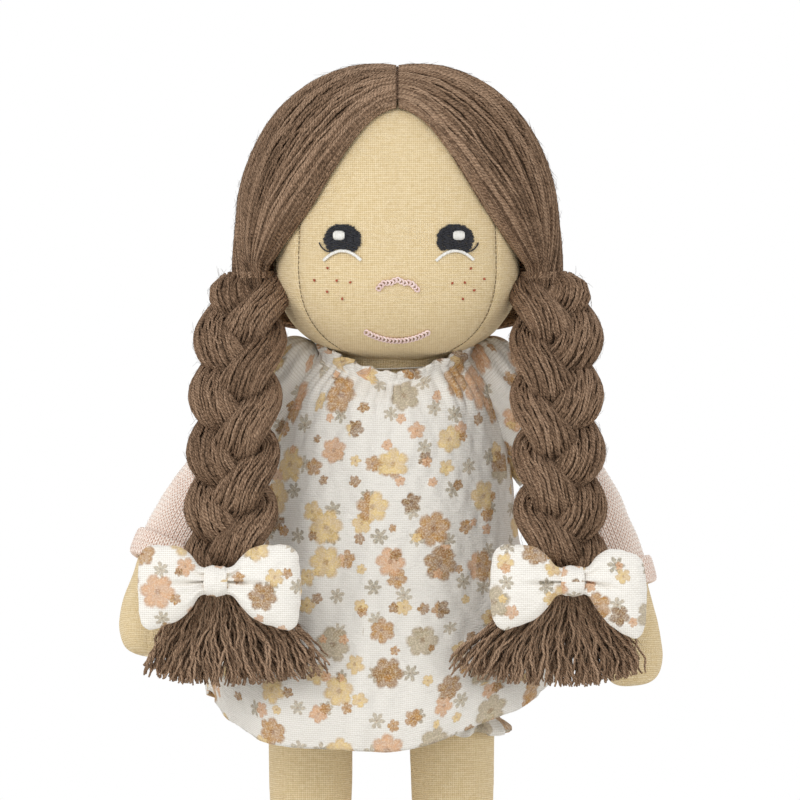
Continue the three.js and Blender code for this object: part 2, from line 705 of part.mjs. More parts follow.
function armSolid(name, grow, toLength = Infinity, fromLength = -1) {
  const curve = armCurve(name);
  const length = curve.getLength();
  const rings = [];
  const ringAt = (share, shift, radius) => {
    const ahead = curve.getTangentAt(share);
    const middle = curve.getPointAt(share).addScaledVector(ahead, shift);
    const across = vec(0, 1, 0).addScaledVector(ahead, -ahead.y).normalize();
    const side = vec(0, 0, 0).crossVectors(ahead, across);
    const ring = [];
    for (let j = 0; j < ARM_SIDES; j++) {
      const turn = ((j + 0.5) / ARM_SIDES) * 2 * Math.PI;
      const point = middle.clone();
      point.addScaledVector(across, radius * Math.cos(turn));
      ring.push(point.addScaledVector(side, radius * Math.sin(turn)));
    }
    return ring;
  };
  const radiusAt = (share) => ARM_RADIUS * along(ARM_SHAPE, share);
  if (fromLength < 0) {
    for (const lift of [72, 36]) {
      const radius = ARM_RADIUS + grow;
      rings.push(ringAt(0, -radius * Math.sin(radians(lift)), radius * Math.cos(radians(lift))));
    }
  }
  const start = Math.max(fromLength, 0) / length;
  const end = Math.min(toLength, length - HAND_ROUND) / length;
  const stations = [start];
  for (let i = 1; i < ARM_STEPS; i++) {
    const share = i / ARM_STEPS;
    if (share > start + 0.02 && share < end - 0.02) stations.push(share);
  }
  for (const share of [...stations, end]) {
    rings.push(ringAt(share, 0, radiusAt(share) + grow));
  }
  if (toLength > length) {
    const wrist = radiusAt(end) + grow;
    for (const turn of [30, 58, 84]) {
      const reach = (HAND_ROUND + grow) * Math.sin(radians(turn));
      rings.push(ringAt(end, reach, wrist * Math.cos(radians(turn))));
    }
  }
  return loft(rings);
}

const sleeveInner = SEAT_GAP;
const sleeveOuter = sleeveInner + KNIT;
const dressSleeveInner = sleeveOuter + SEAT_GAP;
const dressSleeveOuter = dressSleeveInner + GAUZE;
const shoulderAxis = vec(0, -1, 0);

// The room that a dressed arm needs at the shoulder while it is raised.
function armRoom(name) {
  const side = SIDES[name];
  const shoulder = shoulderAt(side);
  const radius = (ARM_RADIUS + dressSleeveOuter + CURVE_GAP) / Math.cos(Math.PI / ROOM_SIDES);
  const ball = new THREE.SphereGeometry(radius, ROOM_SIDES, ROOM_SIDES / 2);
  const tube = new THREE.CylinderGeometry(radius, radius, ROOM_LENGTH, ROOM_SIDES);
  tube.translate(0, -ROOM_LENGTH / 2, 0);
  tube.rotateX(Math.PI / 2);
  ball.rotateX(Math.PI / 2);
  ball.translate(shoulder.x, shoulder.y, shoulder.z);
  const ahead = armCurve(name).getPointAt(0.35).sub(shoulder).setY(0).normalize();
  tube.applyQuaternion(new THREE.Quaternion().setFromUnitVectors(vec(0, 0, -1), ahead));
  tube.translate(shoulder.x, shoulder.y, shoulder.z);
  const from = Math.min(0, side * ARM_RAISE);
  return join(ball, sweep(tube, shoulder, shoulderAxis, from, from + ARM_RAISE, 20));
}

// The open end of an arm, where it is sewn to the shoulder.
function shoulderOpening(name, radius) {
  const shoulder = shoulderAt(SIDES[name]);
  const ahead = armCurve(name).getTangentAt(0);
  const opening = new THREE.CylinderGeometry(radius, radius, 2 * ARM_RADIUS, 10);
  opening.applyQuaternion(new THREE.Quaternion().setFromUnitVectors(vec(0, 1, 0), ahead));
  const middle = shoulder.addScaledVector(ahead, -ARM_RADIUS * 1.4);
  return opening.translate(middle.x, middle.y, middle.z);
}

function armPieces(name) {
  const inner = armSolid(name, -SKIN);
  const cuffStart = SLEEVE_LENGTH - CUFF_LENGTH;
  return {
    arm_skin: cut(armSolid(name, 0), inner, shoulderOpening(name, ARM_RADIUS * 0.55)),
    arm_stuffing: armSolid(name, -SKIN - SEAT_GAP),
    knit_sleeve: cut(armSolid(name, sleeveOuter, SLEEVE_LENGTH), armSolid(name, sleeveInner)),
    knit_cuff: cut(
      armSolid(name, sleeveOuter + SEAT_GAP + CUFF_THICKNESS, SLEEVE_LENGTH, cuffStart),
      armSolid(name, sleeveOuter + SEAT_GAP),
    ),
    dress_sleeve: cut(
      armSolid(name, dressSleeveOuter, DRESS_SLEEVE_LENGTH),
      armSolid(name, dressSleeveInner),
    ),
  };
}

// Legs: a soft tube with a foot, drawn flat at the hip seam, where it swings.
const LEG_SIDES = 10;
const LEG_SHAPE = [
  [0.1, 0.86, 0.86], [0.35, 0.93, 0.93], [0.6, 1, 1], [0.8, 1.02, 1.02], [0.89, 1.02, 0.8], [0.95, 1, 0.45],
];
const FOOT_MIDDLE_HEIGHT = 0.42 * FOOT_HEIGHT;
const FOOT_HALF_HEIGHT = 0.62 * FOOT_HEIGHT;
const legX = (side) => side * LEG_SPAN + HIP_SHIFT;
const hipAt = (side) => vec(legX(side), 0, HIP_Z);
const hipAxis = vec(-1, 0, 0);

function legSolid(side, grow, floor) {
  const rings = [];
  for (const [share, wide, deep] of LEG_SHAPE) {
    const halfDepth = Math.max(LEG_RADIUS * deep + grow, 1);
    rings.push(oval(legX(side), 0, share * HIP_Z, LEG_RADIUS * wide + grow, halfDepth, LEG_SIDES));
  }
  const top = HIP_Z - SEAT_GAP + Math.min(grow, 0);
  rings.push(oval(legX(side), 0, top, LEG_RADIUS * 0.95 + grow, Math.max(2 + grow * 0.8, 0.8), LEG_SIDES));
  const foot = new THREE.SphereGeometry(1, 12, 7);
  foot.rotateX(Math.PI / 2);
  foot.scale(FOOT_HALF_WIDTH + grow, FOOT_LENGTH / 2 + grow, FOOT_HALF_HEIGHT + grow);
  foot.translate(legX(side), HEEL_Y - FOOT_LENGTH / 2, FOOT_MIDDLE_HEIGHT);
  return cut(join(loft(rings), foot), below(floor));
}

function footSole(side) {
  const share = 0.86;
  const halfLength = FOOT_LENGTH / 2;
  const rings = [0, SOLE_THICKNESS].map((z) =>
    oval(legX(side), HEEL_Y - halfLength, z, FOOT_HALF_WIDTH * share, halfLength * share, 24),
  );
  return loft(rings);
}

// The bloomer leg: a puffed tube of gauze with its elastic a little above the ruffle.
function bloomerLeg(side) {
  const count = 20;
  const ruffles = 5;
  const ruffleDepth = 1.3;
  const rows = [[0, 1.35], [0.2, 0.7], [0.34, 0.32], [0.6, 1.1], [1, 1]];
  const grid = (grow) =>
    rows.map(([share, ease], i) => {
      const z = HIP_Z - BLOOMER_LENGTH + share * BLOOMER_LEG_HEIGHT;
      const ring = [];
      for (let j = 0; j < count; j++) {
        const turn = (j / count) * 2 * Math.PI;
        const ruffle = i === 0 ? ruffleDepth * Math.cos(turn * ruffles) : 0;
        const radius = LEG_RADIUS + BLOOMER_EASE * ease + grow + ruffle;
        ring.push(vec(legX(side) + radius * Math.sin(turn), -radius * Math.cos(turn), z));
      }
      return ring;
    });
  const hole = grid(-GAUZE).map((ring, i, all) => {
    const reach = i === 0 ? -1 : 1;
    return i === 0 || i === all.length - 1 ? ring.map((p) => vec(p.x, p.y, p.z + reach)) : ring;
  });
  return cut(loft(grid(0)), loft(hole));
}

// The room that the top of a leg needs while it swings.
function legRoom(side) {
  const top = cut(legSolid(side, SEAT_GAP + 0.4, 0), below(HIP_Z - 2 * LEG_RADIUS));
  return sweep(top, hipAt(side), hipAxis, LEG_BACK, LEG_FORWARD, 14);
}

// Torso: a soft bag, drawn flat at the hip seam and narrow at the neck.
const TORSO_SIDES = 14;
const TORSO_TOP_SHARE = 0.99;

function torsoSolid(grow) {
  const table = [
    [0.003, 0.97, 0.1], [0.05, 1.04, 0.6], [0.16, 1.06, 0.96], [0.34, 0.98, 1.04],
    [0.6, 0.95, 1.02], [0.8, 1, 1], [0.9, 0.94, 0.92], [0.965, 0.72, 0.8], [TORSO_TOP_SHARE, 0.55, 0.68],
  ];
  return loft(
    table.map(([share, wide, deep]) => {
      const z = HIP_Z + share * TORSO_LENGTH;
      const halfDepth = Math.max(TORSO_HALF_DEPTH * deep + grow, 1);
      return oval(lean(z), 0, z, TORSO_HALF_WIDTH * wide + grow, halfDepth, TORSO_SIDES);
    }),
  );
}

function neckSolid() {
  const bottom = HIP_Z + TORSO_TOP_SHARE * TORSO_LENGTH + SEAT_GAP;
  const rings = [bottom, NECK_Z + NECK_SHOWN + 3].map((z) =>
    oval(lean(z), 0, z, NECK_HALF_WIDTH, NECK_HALF_DEPTH, TORSO_SIDES),
  );
  return cut(loft(rings), headSolid(CURVE_GAP + SEAT_GAP));
}

// Dress

// How far the dress has spread from its neckline to its hem, at shares of its length.
const DRESS_SPREAD = [
  [0, 0], [0.035, 0.03], [0.08, 0.23], [0.16, 0.35], [0.3, 0.4],
  [0.45, 0.48], [0.62, 0.66], [0.8, 0.87], [0.92, 1], [1, 0.99],
];

// The outside of the dress: turn 0 is the front, share 0 the neckline and 1 the hem.
function dressPoint(turn, share, grow) {
  const sideways = Math.sin(turn) ** 2;
  const spread = along(DRESS_SPREAD, share);
  const halfWidth = lerp(NECKLINE_HALF_WIDTH, HEM_HALF_WIDTH, spread) + grow;
  const halfDepth = lerp(NECKLINE_HALF_DEPTH, HEM_HALF_DEPTH, spread) + grow;
  const folds = lerp(0.25, 2.6, smooth(0.25, 1, share)) * smooth(0.03, 0.1, share);
  const gathers = 0.7 * smooth(0.14, 0.05, share);
  const wave = DRESS_FOLDS * turn;
  const fold = folds * Math.cos(wave + 0.8 * Math.sin(2 * turn)) + gathers * Math.cos(2 * wave);
  const neckRise = NECKLINE_RISE * sideways * smooth(0.16, 0, share);
  const leftSide = Math.sin(turn) > 0 ? HEM_EXTRA_RISE : 0;
  const hemRise = (HEM_RISE + leftSide) * sideways ** 1.6 * smooth(0.55, 1, share);
  const z = NECK_Z + NECKLINE_ABOVE - share * DRESS_LENGTH + neckRise + hemRise;
  const x = lean(z) + (halfWidth + fold) * Math.sin(turn);
  return vec(x, -(halfDepth + fold) * Math.cos(turn), z);
}

function dressPanel(fromTurn, toTurn) {
  const columns = 30;
  const shares = [0, 0.03, 0.08, 0.16, 0.34, 0.55, 0.78, 1];
  const seam = 0.004;
  const grid = (grow) =>
    shares.map((share) => {
      const row = [];
      for (let j = 0; j <= columns; j++) {
        row.push(dressPoint(lerp(fromTurn + seam, toTurn - seam, j / columns), share, grow));
      }
      return row;
    });
  return cut(sheet(grid(0), grid(-GAUZE)), armRoom('left'), armRoom('right'));
}

function neckElastic() {
  const rings = [];
  const radius = 0.8;
  const count = 24;
  for (let j = 0; j < count; j++) {
    const turn = (j / count) * 2 * Math.PI;
    const wrapped = turn > Math.PI ? turn - 2 * Math.PI : turn;
    const middle = dressPoint(wrapped, 0.03, -GAUZE - CURVE_GAP - radius);
    const out = vec(Math.sin(turn), -Math.cos(turn), 0);
    const ring = [];
    for (let k = 0; k < 6; k++) {
      const around = (k / 6) * 2 * Math.PI;
      const point = middle.clone().addScaledVector(out, radius * Math.cos(around));
      point.z += radius * Math.sin(around);
      ring.push(point);
    }
    rings.push(ring);
  }
  const triangles = [];
  for (let j = 0; j < count; j++) {
    for (let k = 0; k < 6; k++) {
      const next = ((j + 1) % count) * 6;
      const up = (k + 1) % 6;
      triangles.push([j * 6 + k, j * 6 + up, next + up], [j * 6 + k, next + up, next + k]);
    }
  }
  return closed(rings.flat(), triangles);
}

// Materials
function finish(color, roughness) {
  return new THREE.MeshStandardMaterial({ color, roughness, metalness: 0 });
}

const finishes = {
  skin: () => finish('#d5c08c', 0.9),
  stuffing: () => finish('#f2efe8', 0.95),
  hair: () => finish('#7a6353', 0.9),
  gauze: () => finish('#f1eee8', 0.9),
  knit: () => finish('#e2c3b5', 0.92),
  eye: () => finish('#23242c', 0.6),
  white: () => finish('#f7f6f2', 0.7),
  pink: () => finish('#ebc4bf', 0.7),
  seam: () => finish('#4a3526', 0.85),
};

const doll = new THREE.Group();

function add(group, name, geometry, finishName) {
  const mesh = new THREE.Mesh(geometry, finishes[finishName]());
  mesh.name = name;
  group.add(mesh);
  return mesh;
}

// Head
const head = new THREE.Group();
doll.add(head);
const headRoom = headSolid(CURVE_GAP);
add(head, 'face_panel', headPanel(-CHEEK_SEAM_DEG, CHEEK_SEAM_DEG, 8), 'skin');
add(head, 'cheek_panel_left', headPanel(CHEEK_SEAM_DEG, BACK_SEAM_DEG, 6), 'skin');
add(head, 'cheek_panel_right', headPanel(-BACK_SEAM_DEG, -CHEEK_SEAM_DEG, 6), 'skin');
add(head, 'head_back_panel', headPanel(BACK_SEAM_DEG, 360 - BACK_SEAM_DEG, 8), 'skin');
add(head, 'head_stuffing', headSolid(-SKIN - CURVE_GAP - SEAT_GAP), 'stuffing');
add(head, 'nose_stitching', faceThread(noseAt, 0, NOSE_HALF_WIDTH, THREAD_RADIUS), 'pink');
add(head, 'mouth_stitching', faceThread(mouthAt, 0, MOUTH_HALF_WIDTH, THREAD_RADIUS), 'pink');
add(head, 'parting_seam', partingSeam(), 'seam');

for (const [name, side] of Object.entries(SIDES)) {
  add(head, `eye_${name}`, eye(side), 'eye');
  add(head, `eye_highlight_${name}`, highlight(side), 'white');
  add(head, `lower_lid_${name}`, lowerLid(side), 'white');
  add(head, `hair_${name}`, hairHalf(side), 'hair');
  const tie = add(head, `hair_tie_${name}`, band(TIE_RADIUS, TIE_BAND, TIE_HEIGHT), 'hair');
  tie.position.set(side * TIE_X, TIE_Y, TIE_Z);
}

// Torso and what is worn on it
const torso = new THREE.Group();
doll.add(torso);
const legsRoom = join(legRoom(SIDES.left), legRoom(SIDES.right));
const armsRoom = join(armRoom('left'), armRoom('right'));
const torsoSkin = cut(torsoSolid(0), torsoSolid(-SKIN), armsRoom, legsRoom);
const pulloverBottom = NECK_Z - PULLOVER_LENGTH;
const pulloverTop = NECK_Z - 4;
const pullover = cut(torsoSolid(SEAT_GAP + KNIT), torsoSolid(SEAT_GAP), armsRoom);
const bloomersTop = pulloverBottom - SEAT_GAP;
const bloomersBottom = HIP_Z + 3;
const bloomers = cut(torsoSolid(SEAT_GAP + GAUZE), torsoSolid(SEAT_GAP), legsRoom);
add(torso, 'torso_front_panel', cut(torsoSkin, behind(-SEAT_GAP / 2)), 'skin');
add(torso, 'torso_back_panel', cut(torsoSkin, inFrontOf(SEAT_GAP / 2)), 'skin');
add(torso, 'torso_stuffing', cut(torsoSolid(-SKIN - SEAT_GAP), armsRoom, legsRoom), 'stuffing');
add(torso, 'neck', neckSolid(), 'skin');
add(torso, 'knit_body', cut(pullover, below(pulloverBottom), above(pulloverTop)), 'knit');
add(torso, 'bloomers', cut(bloomers, below(bloomersBottom), above(bloomersTop)), 'gauze');
add(torso, 'dress_front', dressPanel(-Math.PI / 2, Math.PI / 2), 'gauze');
add(torso, 'dress_back', dressPanel(Math.PI / 2, (3 * Math.PI) / 2), 'gauze');
add(torso, 'neck_elastic', neckElastic(), 'white');

// Arms
for (const name of Object.keys(SIDES)) {
  const arm = new THREE.Group();
  doll.add(arm);
  const pieces = armPieces(name);
  add(arm, `arm_skin_${name}`, pieces.arm_skin, 'skin');
  add(arm, `arm_stuffing_${name}`, pieces.arm_stuffing, 'stuffing');
  add(arm, `knit_sleeve_${name}`, pieces.knit_sleeve, 'knit');
  add(arm, `knit_cuff_${name}`, pieces.knit_cuff, 'knit');
  add(arm, `dress_sleeve_${name}`, pieces.dress_sleeve, 'gauze');
}

// Legs
for (const [name, side] of Object.entries(SIDES)) {
  const leg = new THREE.Group();
  doll.add(leg);
  const soleTop = SOLE_THICKNESS + SEAT_GAP;
  const openingHalf = LEG_RADIUS / 2;
  const openingFrom = vec(legX(side) - openingHalf, -FAR, HIP_Z - 3);
  const hipOpening = block(openingFrom, vec(legX(side) + openingHalf, FAR, FAR));
  const skin = cut(legSolid(side, 0, soleTop), legSolid(side, -SKIN, soleTop + SKIN), hipOpening);
  add(leg, `leg_skin_${name}`, skin, 'skin');
  add(leg, `leg_stuffing_${name}`, legSolid(side, -SKIN - SEAT_GAP, soleTop + SKIN + SEAT_GAP), 'stuffing');
  add(leg, `sole_${name}`, footSole(side), 'skin');
  add(leg, `bloomer_leg_${name}`, bloomerLeg(side), 'gauze');
}

// Braids
for (const [name, side] of Object.entries(SIDES)) {
  const braid = new THREE.Group();
  doll.add(braid);
  const pivot = vec(side * TIE_X, TIE_Y, BRAID_PIVOT_Z);
  const room = sweep(headRoom, pivot, vec(1, 0, 0), 0, BRAID_SWING, 14);
  const tieRoom = sweep(tieSolid(side, SEAT_GAP), pivot, vec(1, 0, 0), 0, BRAID_SWING, 14);
  for (let number = 1; number <= 3; number++) {
    add(braid, `braid_lock_${name}_${number}`, cut(braidLock(side, number), room, tieRoom), 'hair');
  }
  const end = braidMiddle(1);
  const knot = new THREE.Group();
  knot.position.set(side * end.x, end.y, end.z);
  braid.add(knot);
  const tie = add(knot, `braid_tie_${name}`, band(BRAID_END_RADIUS, TIE_BAND, TIE_HEIGHT), 'hair');
  tie.position.z = TIE_HEIGHT / 2;
  const fan = add(knot, `tassel_${name}`, tassel(), 'hair');
  fan.position.z = -SEAT_GAP;
  const bowY = -(BRAID_END_RADIUS + TIE_BAND + SEAT_GAP + BOW_KNOT_RADIUS);
  const ribbon = add(knot, `bow_${name}`, bow(), 'gauze');
  ribbon.position.y = bowY;
  const knotBand = band(BOW_KNOT_RADIUS - BOW_KNOT_WALL, BOW_KNOT_WALL, BOW_KNOT_WIDTH);
  const wrap = add(knot, `bow_knot_${name}`, knotBand, 'gauze');
  wrap.rotation.y = Math.PI / 2;
  wrap.position.y = bowY;
}

// The doll stands on the floor, with the middle of its outline over the origin.
const outline = new THREE.Box3().setFromObject(doll);
const middle = outline.getCenter(vec(0, 0, 0));
doll.position.set(-middle.x, -middle.y, -outline.min.z);
doll.updateMatrixWorld(true);

export default doll;
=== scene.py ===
# %% [markdown]
# A stuffed cloth doll with a wool wig in two braids. The frame gives every place, and each piece below is
# made of what the real one is made of: linen bags of stuffing, plied wool yarn, knitted wool, printed cotton
# gauze and embroidery thread. Lengths are in metres, and MM turns millimetres into them.

import json
import math

import bmesh
import bpy
import numpy as np
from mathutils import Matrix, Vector


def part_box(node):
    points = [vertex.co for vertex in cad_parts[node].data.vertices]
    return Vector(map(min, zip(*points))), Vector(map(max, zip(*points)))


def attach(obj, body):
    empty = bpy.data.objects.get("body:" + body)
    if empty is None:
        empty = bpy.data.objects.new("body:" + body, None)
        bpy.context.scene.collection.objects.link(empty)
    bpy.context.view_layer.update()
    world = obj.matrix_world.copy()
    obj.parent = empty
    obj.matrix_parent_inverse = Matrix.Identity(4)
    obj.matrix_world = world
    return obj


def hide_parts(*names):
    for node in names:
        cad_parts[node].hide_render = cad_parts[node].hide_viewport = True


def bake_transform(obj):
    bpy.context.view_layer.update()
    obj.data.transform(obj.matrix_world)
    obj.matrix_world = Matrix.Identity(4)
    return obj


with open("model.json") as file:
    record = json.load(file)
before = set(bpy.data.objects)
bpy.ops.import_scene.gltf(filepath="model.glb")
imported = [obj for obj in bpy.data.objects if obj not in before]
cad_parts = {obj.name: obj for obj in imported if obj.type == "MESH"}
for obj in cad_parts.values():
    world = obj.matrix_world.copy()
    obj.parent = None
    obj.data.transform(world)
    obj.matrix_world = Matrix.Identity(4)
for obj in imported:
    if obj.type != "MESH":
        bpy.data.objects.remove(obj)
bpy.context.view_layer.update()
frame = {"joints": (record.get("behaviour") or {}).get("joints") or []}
MM = 0.001
SIDES = {"left": 1, "right": -1}

# %% [markdown]
# The doll's own measures come from the frame: its joints give the neck, shoulders, hips and braid tops, and
# boxes of nodes give the rest. Head measures are written once here, because the face, the wig and the
# embroidery all lie on the same rounded surface.

# %% Places from the frame
joint_at = {j["name"]: np.array(j["pos_m"]) for j in frame["joints"]}


def corners(node):
    low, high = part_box(node)
    return np.array(low), np.array(high)


def middle_of(node):
    low, high = corners(node)
    return (low + high) / 2


tie_middle = {name: middle_of(f"hair_tie_{name}") for name in SIDES}
TIE_BELOW_WIDEST = 4 * MM
SHOULDER_BELOW_NECK = 7 * MM
HEAD_X, HEAD_Y = joint_at["head_turn"][:2]
HEAD_Z = tie_middle["left"][2] + TIE_BELOW_WIDEST
HEAD = np.array([HEAD_X, HEAD_Y, HEAD_Z])
TIE_OUT = tie_middle["left"][0] - HEAD_X
TIE_BACK = tie_middle["left"][1] - HEAD_Y
HIP_Z = joint_at["leg_left_swing"][2]
NECK_Z = joint_at["arm_left_raise"][2] + SHOULDER_BELOW_NECK
HIP_SHIFT = (joint_at["leg_left_swing"][0] + joint_at["leg_right_swing"][0]) / 2 - HEAD_X
print("head at", HEAD.round(4), "hips shifted by", round(HIP_SHIFT, 4))


# %% Small helpers for curves
def lerp(a, b, t):
    return a + (b - a) * t


def smooth(start, end, value):
    t = np.clip((value - start) / (end - start), 0, 1)
    return t * t * (3 - 2 * t)


def bell(away, width):
    """1 in the middle of a groove or crease, falling softly to 0 on both sides."""
    return np.exp(-((away / width) ** 2))


def along(table, place):
    """A smooth value from a short table of (place, value) rows."""
    x, y = np.array(table, float).T
    k = np.arange(len(x))
    before, after = np.maximum(k - 1, 0), np.minimum(k + 1, len(x) - 1)
    slope = (y[after] - y[before]) / (x[after] - x[before])
    place = np.clip(place, x[0], x[-1])
    i = np.clip(np.searchsorted(x, place, side="right") - 1, 0, len(x) - 2)
    width = x[i + 1] - x[i]
    t = (place - x[i]) / width
    bend = width * (slope[i] * t * (1 - t) ** 2 - slope[i + 1] * t * t * (1 - t))
    return y[i] + (y[i + 1] - y[i]) * t * t * (3 - 2 * t) + bend


def unit(vectors):
    return vectors / np.maximum(np.linalg.norm(vectors, axis=-1, keepdims=True), 1e-12)


def stacked(*parts):
    """Coordinates stretched to one shape and put side by side."""
    return np.stack(np.broadcast_arrays(*parts), -1)


def full_turn(columns):
    return np.arange(columns) / columns * 2 * math.pi


def way_along(points):
    """The distance of each point of a line from its start."""
    return np.concatenate([[0], np.cumsum(np.linalg.norm(np.diff(points, axis=0), axis=1))])


def at_stations(stations, way, points):
    """Points of a line at some distances from its start."""
    return np.stack([np.interp(stations, way, points[:, k]) for k in range(points.shape[1])], -1)


def dashes_along(points, pitch, dash, count):
    """Short stitches along a line, each of a few points."""
    way = way_along(points)
    stations = np.arange(0, way[-1] - dash, pitch)[:, None] + np.linspace(0, dash, count)
    return at_stations(stations, way, points)


def waves(seed, *places, count=5):
    """Soft irregular waves: sums of sines over the given places, with a fixed seed."""
    rng = np.random.default_rng(seed)
    total = 0
    for n in range(1, count + 1):
        phase = rng.uniform(0, 2 * math.pi)
        for place in places:
            phase = phase + place * rng.uniform(0.5, 1.5) * n * rng.choice([-1, 1])
        total = total + np.sin(phase) / math.sqrt(n)
    return total / math.sqrt(count)


def lean(z):
    """How far the body leans to its right at a height."""
    return HIP_SHIFT * smooth(HEAD_Z, HIP_Z, z)


# %% [markdown]
# The camera looks at the doll from straight ahead through a long lens, as the catalogue photograph does, and
# cuts it off at the thighs. A soft lamp stands high at its right hand, two weaker ones stand low at the sides
# to fill the folds, and one behind it lights the edge of the hair.

# %% Camera
PICTURE_WIDTH = 308 * MM
LENS, SENSOR_WIDTH = 400, 36
CAMERA_DISTANCE = PICTURE_WIDTH * LENS / SENSOR_WIDTH
CAMERA_TILT = math.radians(2)
PICTURE_MIDDLE = Vector((2.6 * MM, -12 * MM, 220 * MM))
camera_data = bpy.data.cameras.new("camera")
camera_data.lens = LENS
camera_data.sensor_width = SENSOR_WIDTH
camera = bpy.data.objects.new("camera", camera_data)
bpy.context.scene.collection.objects.link(camera)
bpy.context.scene.camera = camera
towards = Vector((0, -math.cos(CAMERA_TILT), math.sin(CAMERA_TILT)))
camera.location = PICTURE_MIDDLE + towards * CAMERA_DISTANCE
camera.rotation_euler = (math.pi / 2 - CAMERA_TILT, 0, 0)
bpy.context.scene.view_settings.view_transform = "Standard"

# %% Lamps
LAMP_AIM = Vector((0, 0, 0.2))


def lamp(name, size, energy, place):
    data = bpy.data.lights.new(name, "AREA")
    data.shape = "SQUARE"
    data.size = size
    data.energy = energy
    light = bpy.data.objects.new(name, data)
    bpy.context.scene.collection.objects.link(light)
    light.location = place
    light.rotation_euler = (LAMP_AIM - Vector(place)).to_track_quat("-Z", "Y").to_euler()


lamp("key_lamp", 0.9, 7.8, (-0.6, -1.2, 1.15))
lamp("fill_lamp", 1.2, 5.0, (1.25, -0.9, 0.3))
lamp("side_lamp", 1.0, 4.0, (-1.2, -0.75, 0.22))
lamp("back_lamp", 0.8, 5.0, (0.35, 1.2, 1.0))

# %% [markdown]
# A small class keeps the node trees readable: each material is a few lines of arithmetic on its own shader.
# Colours are written as the hex codes that a picture shows and turned into linear light here.


# %% Material builder
def linear(code):
    channels = [int(code[i : i + 2], 16) / 255 for i in (1, 3, 5)]
    return (*(c / 12.92 if c <= 0.04045 else ((c + 0.055) / 1.055) ** 2.4 for c in channels), 1.0)


class Finish:
    """One material, with its colour, bump and shine made of nodes."""

    def __init__(self, name, roughness, sheen=0.0, specular=0.3):
        self.material = bpy.data.materials.new(name)
        self.material.use_nodes = True
        self.tree = self.material.node_tree
        self.shader = self.tree.nodes["Principled BSDF"]
        self.shader.inputs["Roughness"].default_value = roughness
        self.shader.inputs["Specular IOR Level"].default_value = specular
        self.shader.inputs["Sheen Weight"].default_value = sheen
        self.shader.inputs["Sheen Roughness"].default_value = 0.6

    def put(self, socket, value):
        if isinstance(value, bpy.types.NodeSocket):
            self.tree.links.new(value, socket)
        elif value is not None:
            socket.default_value = value

    def node(self, kind, settings=(), **inputs):
        node = self.tree.nodes.new(kind)
        for key, value in dict(settings).items():
            setattr(node, key, value)
        for key, value in inputs.items():
            self.put(node.inputs[key.replace("_", " ")], value)
        return node

    def math(self, operation, *values):
        node = self.node("ShaderNodeMath", {"operation": operation})
        for socket, value in zip(node.inputs, values):
            self.put(socket, value)
        return node.outputs[0]

    def times(self, a, b):
        return self.math("MULTIPLY", a, b)

    def times_plus(self, a, b, c):
        return self.math("MULTIPLY_ADD", a, b, c)

    def plus(self, a, b):
        return self.math("ADD", a, b)

    def minus(self, a, b):
        return self.math("SUBTRACT", a, b)

    def without_sign(self, value):
        return self.math("ABSOLUTE", value)

    def sine(self, turn):
        return self.math("SINE", turn)

    def step(self, value, low, high):
        """0 below low and 1 above high, or the other way round, with a soft ramp."""
        settings = {"clamp": True, "interpolation_type": "SMOOTHSTEP"}
        node = self.node("ShaderNodeMapRange", settings, Value=value)
        node.inputs["From Min"].default_value = min(low, high)
        node.inputs["From Max"].default_value = max(low, high)
        node.inputs["To Min"].default_value = 0.0 if low < high else 1.0
        node.inputs["To Max"].default_value = 1.0 if low < high else 0.0
        return node.outputs[0]

    def mix(self, share, a, b, blend="MIX"):
        node = self.node("ShaderNodeMix", {"data_type": "RGBA", "blend_type": blend})
        for socket, value in zip([node.inputs[0], node.inputs[6], node.inputs[7]], (share, a, b)):
            self.put(socket, linear(value) if isinstance(value, str) else value)
        return node.outputs[2]

    def vector(self, operation, a, b=None, scale=None):
        node = self.node("ShaderNodeVectorMath", {"operation": operation})
        self.put(node.inputs[0], a)
        self.put(node.inputs[1], b)
        if scale is not None:
            self.put(node.inputs["Scale"], scale)
        return node.outputs["Value" if operation == "LENGTH" else "Vector"]

    def noise(self, place, scale, detail=2.0, roughness=0.5):
        node = self.node("ShaderNodeTexNoise", Vector=place, Scale=scale, Detail=detail, Roughness=roughness)
        return node.outputs["Fac"]

    def stretched_noise(self, x, y, across, down, detail=2.0, roughness=0.5):
        """Noise whose grains have their own scale across and down the cloth."""
        return self.noise(self.place(self.times(x, across), self.times(y, down)), 1.0, detail, roughness)

    def uv(self):
        return self.node("ShaderNodeTexCoord").outputs["UV"]

    def object_place(self):
        return self.node("ShaderNodeTexCoord").outputs["Object"]

    def own_shade(self):
        """The shade that each yarn carries as an attribute; on the wig it also holds painted shade towards
        the ties.
        """
        return self.node("ShaderNodeAttribute", {"attribute_name": "shade"}).outputs["Fac"]

    def parts(self, vector):
        return self.node("ShaderNodeSeparateXYZ", Vector=vector).outputs[:3]

    def place(self, x, y=0.0, z=0.0):
        return self.node("ShaderNodeCombineXYZ", X=x, Y=y, Z=z).outputs[0]

    def finish(self, colour, height=None, depth=0.1 * MM):
        self.put(self.shader.inputs["Base Color"], linear(colour) if isinstance(colour, str) else colour)
        if height is not None:
            bump = self.node("ShaderNodeBump", Height=height, Distance=depth)
            self.put(self.shader.inputs["Normal"], bump.outputs[0])
        return self.material


# %% [markdown]
# The world is white only for rays from the camera, glass and gloss, and a soft even grey for the light
# itself, so white cloth keeps its folds. The floor is one wide pale sheet that takes the doll's soft shadow
# and turns white for the camera away from it. It is staging, not part of the doll.

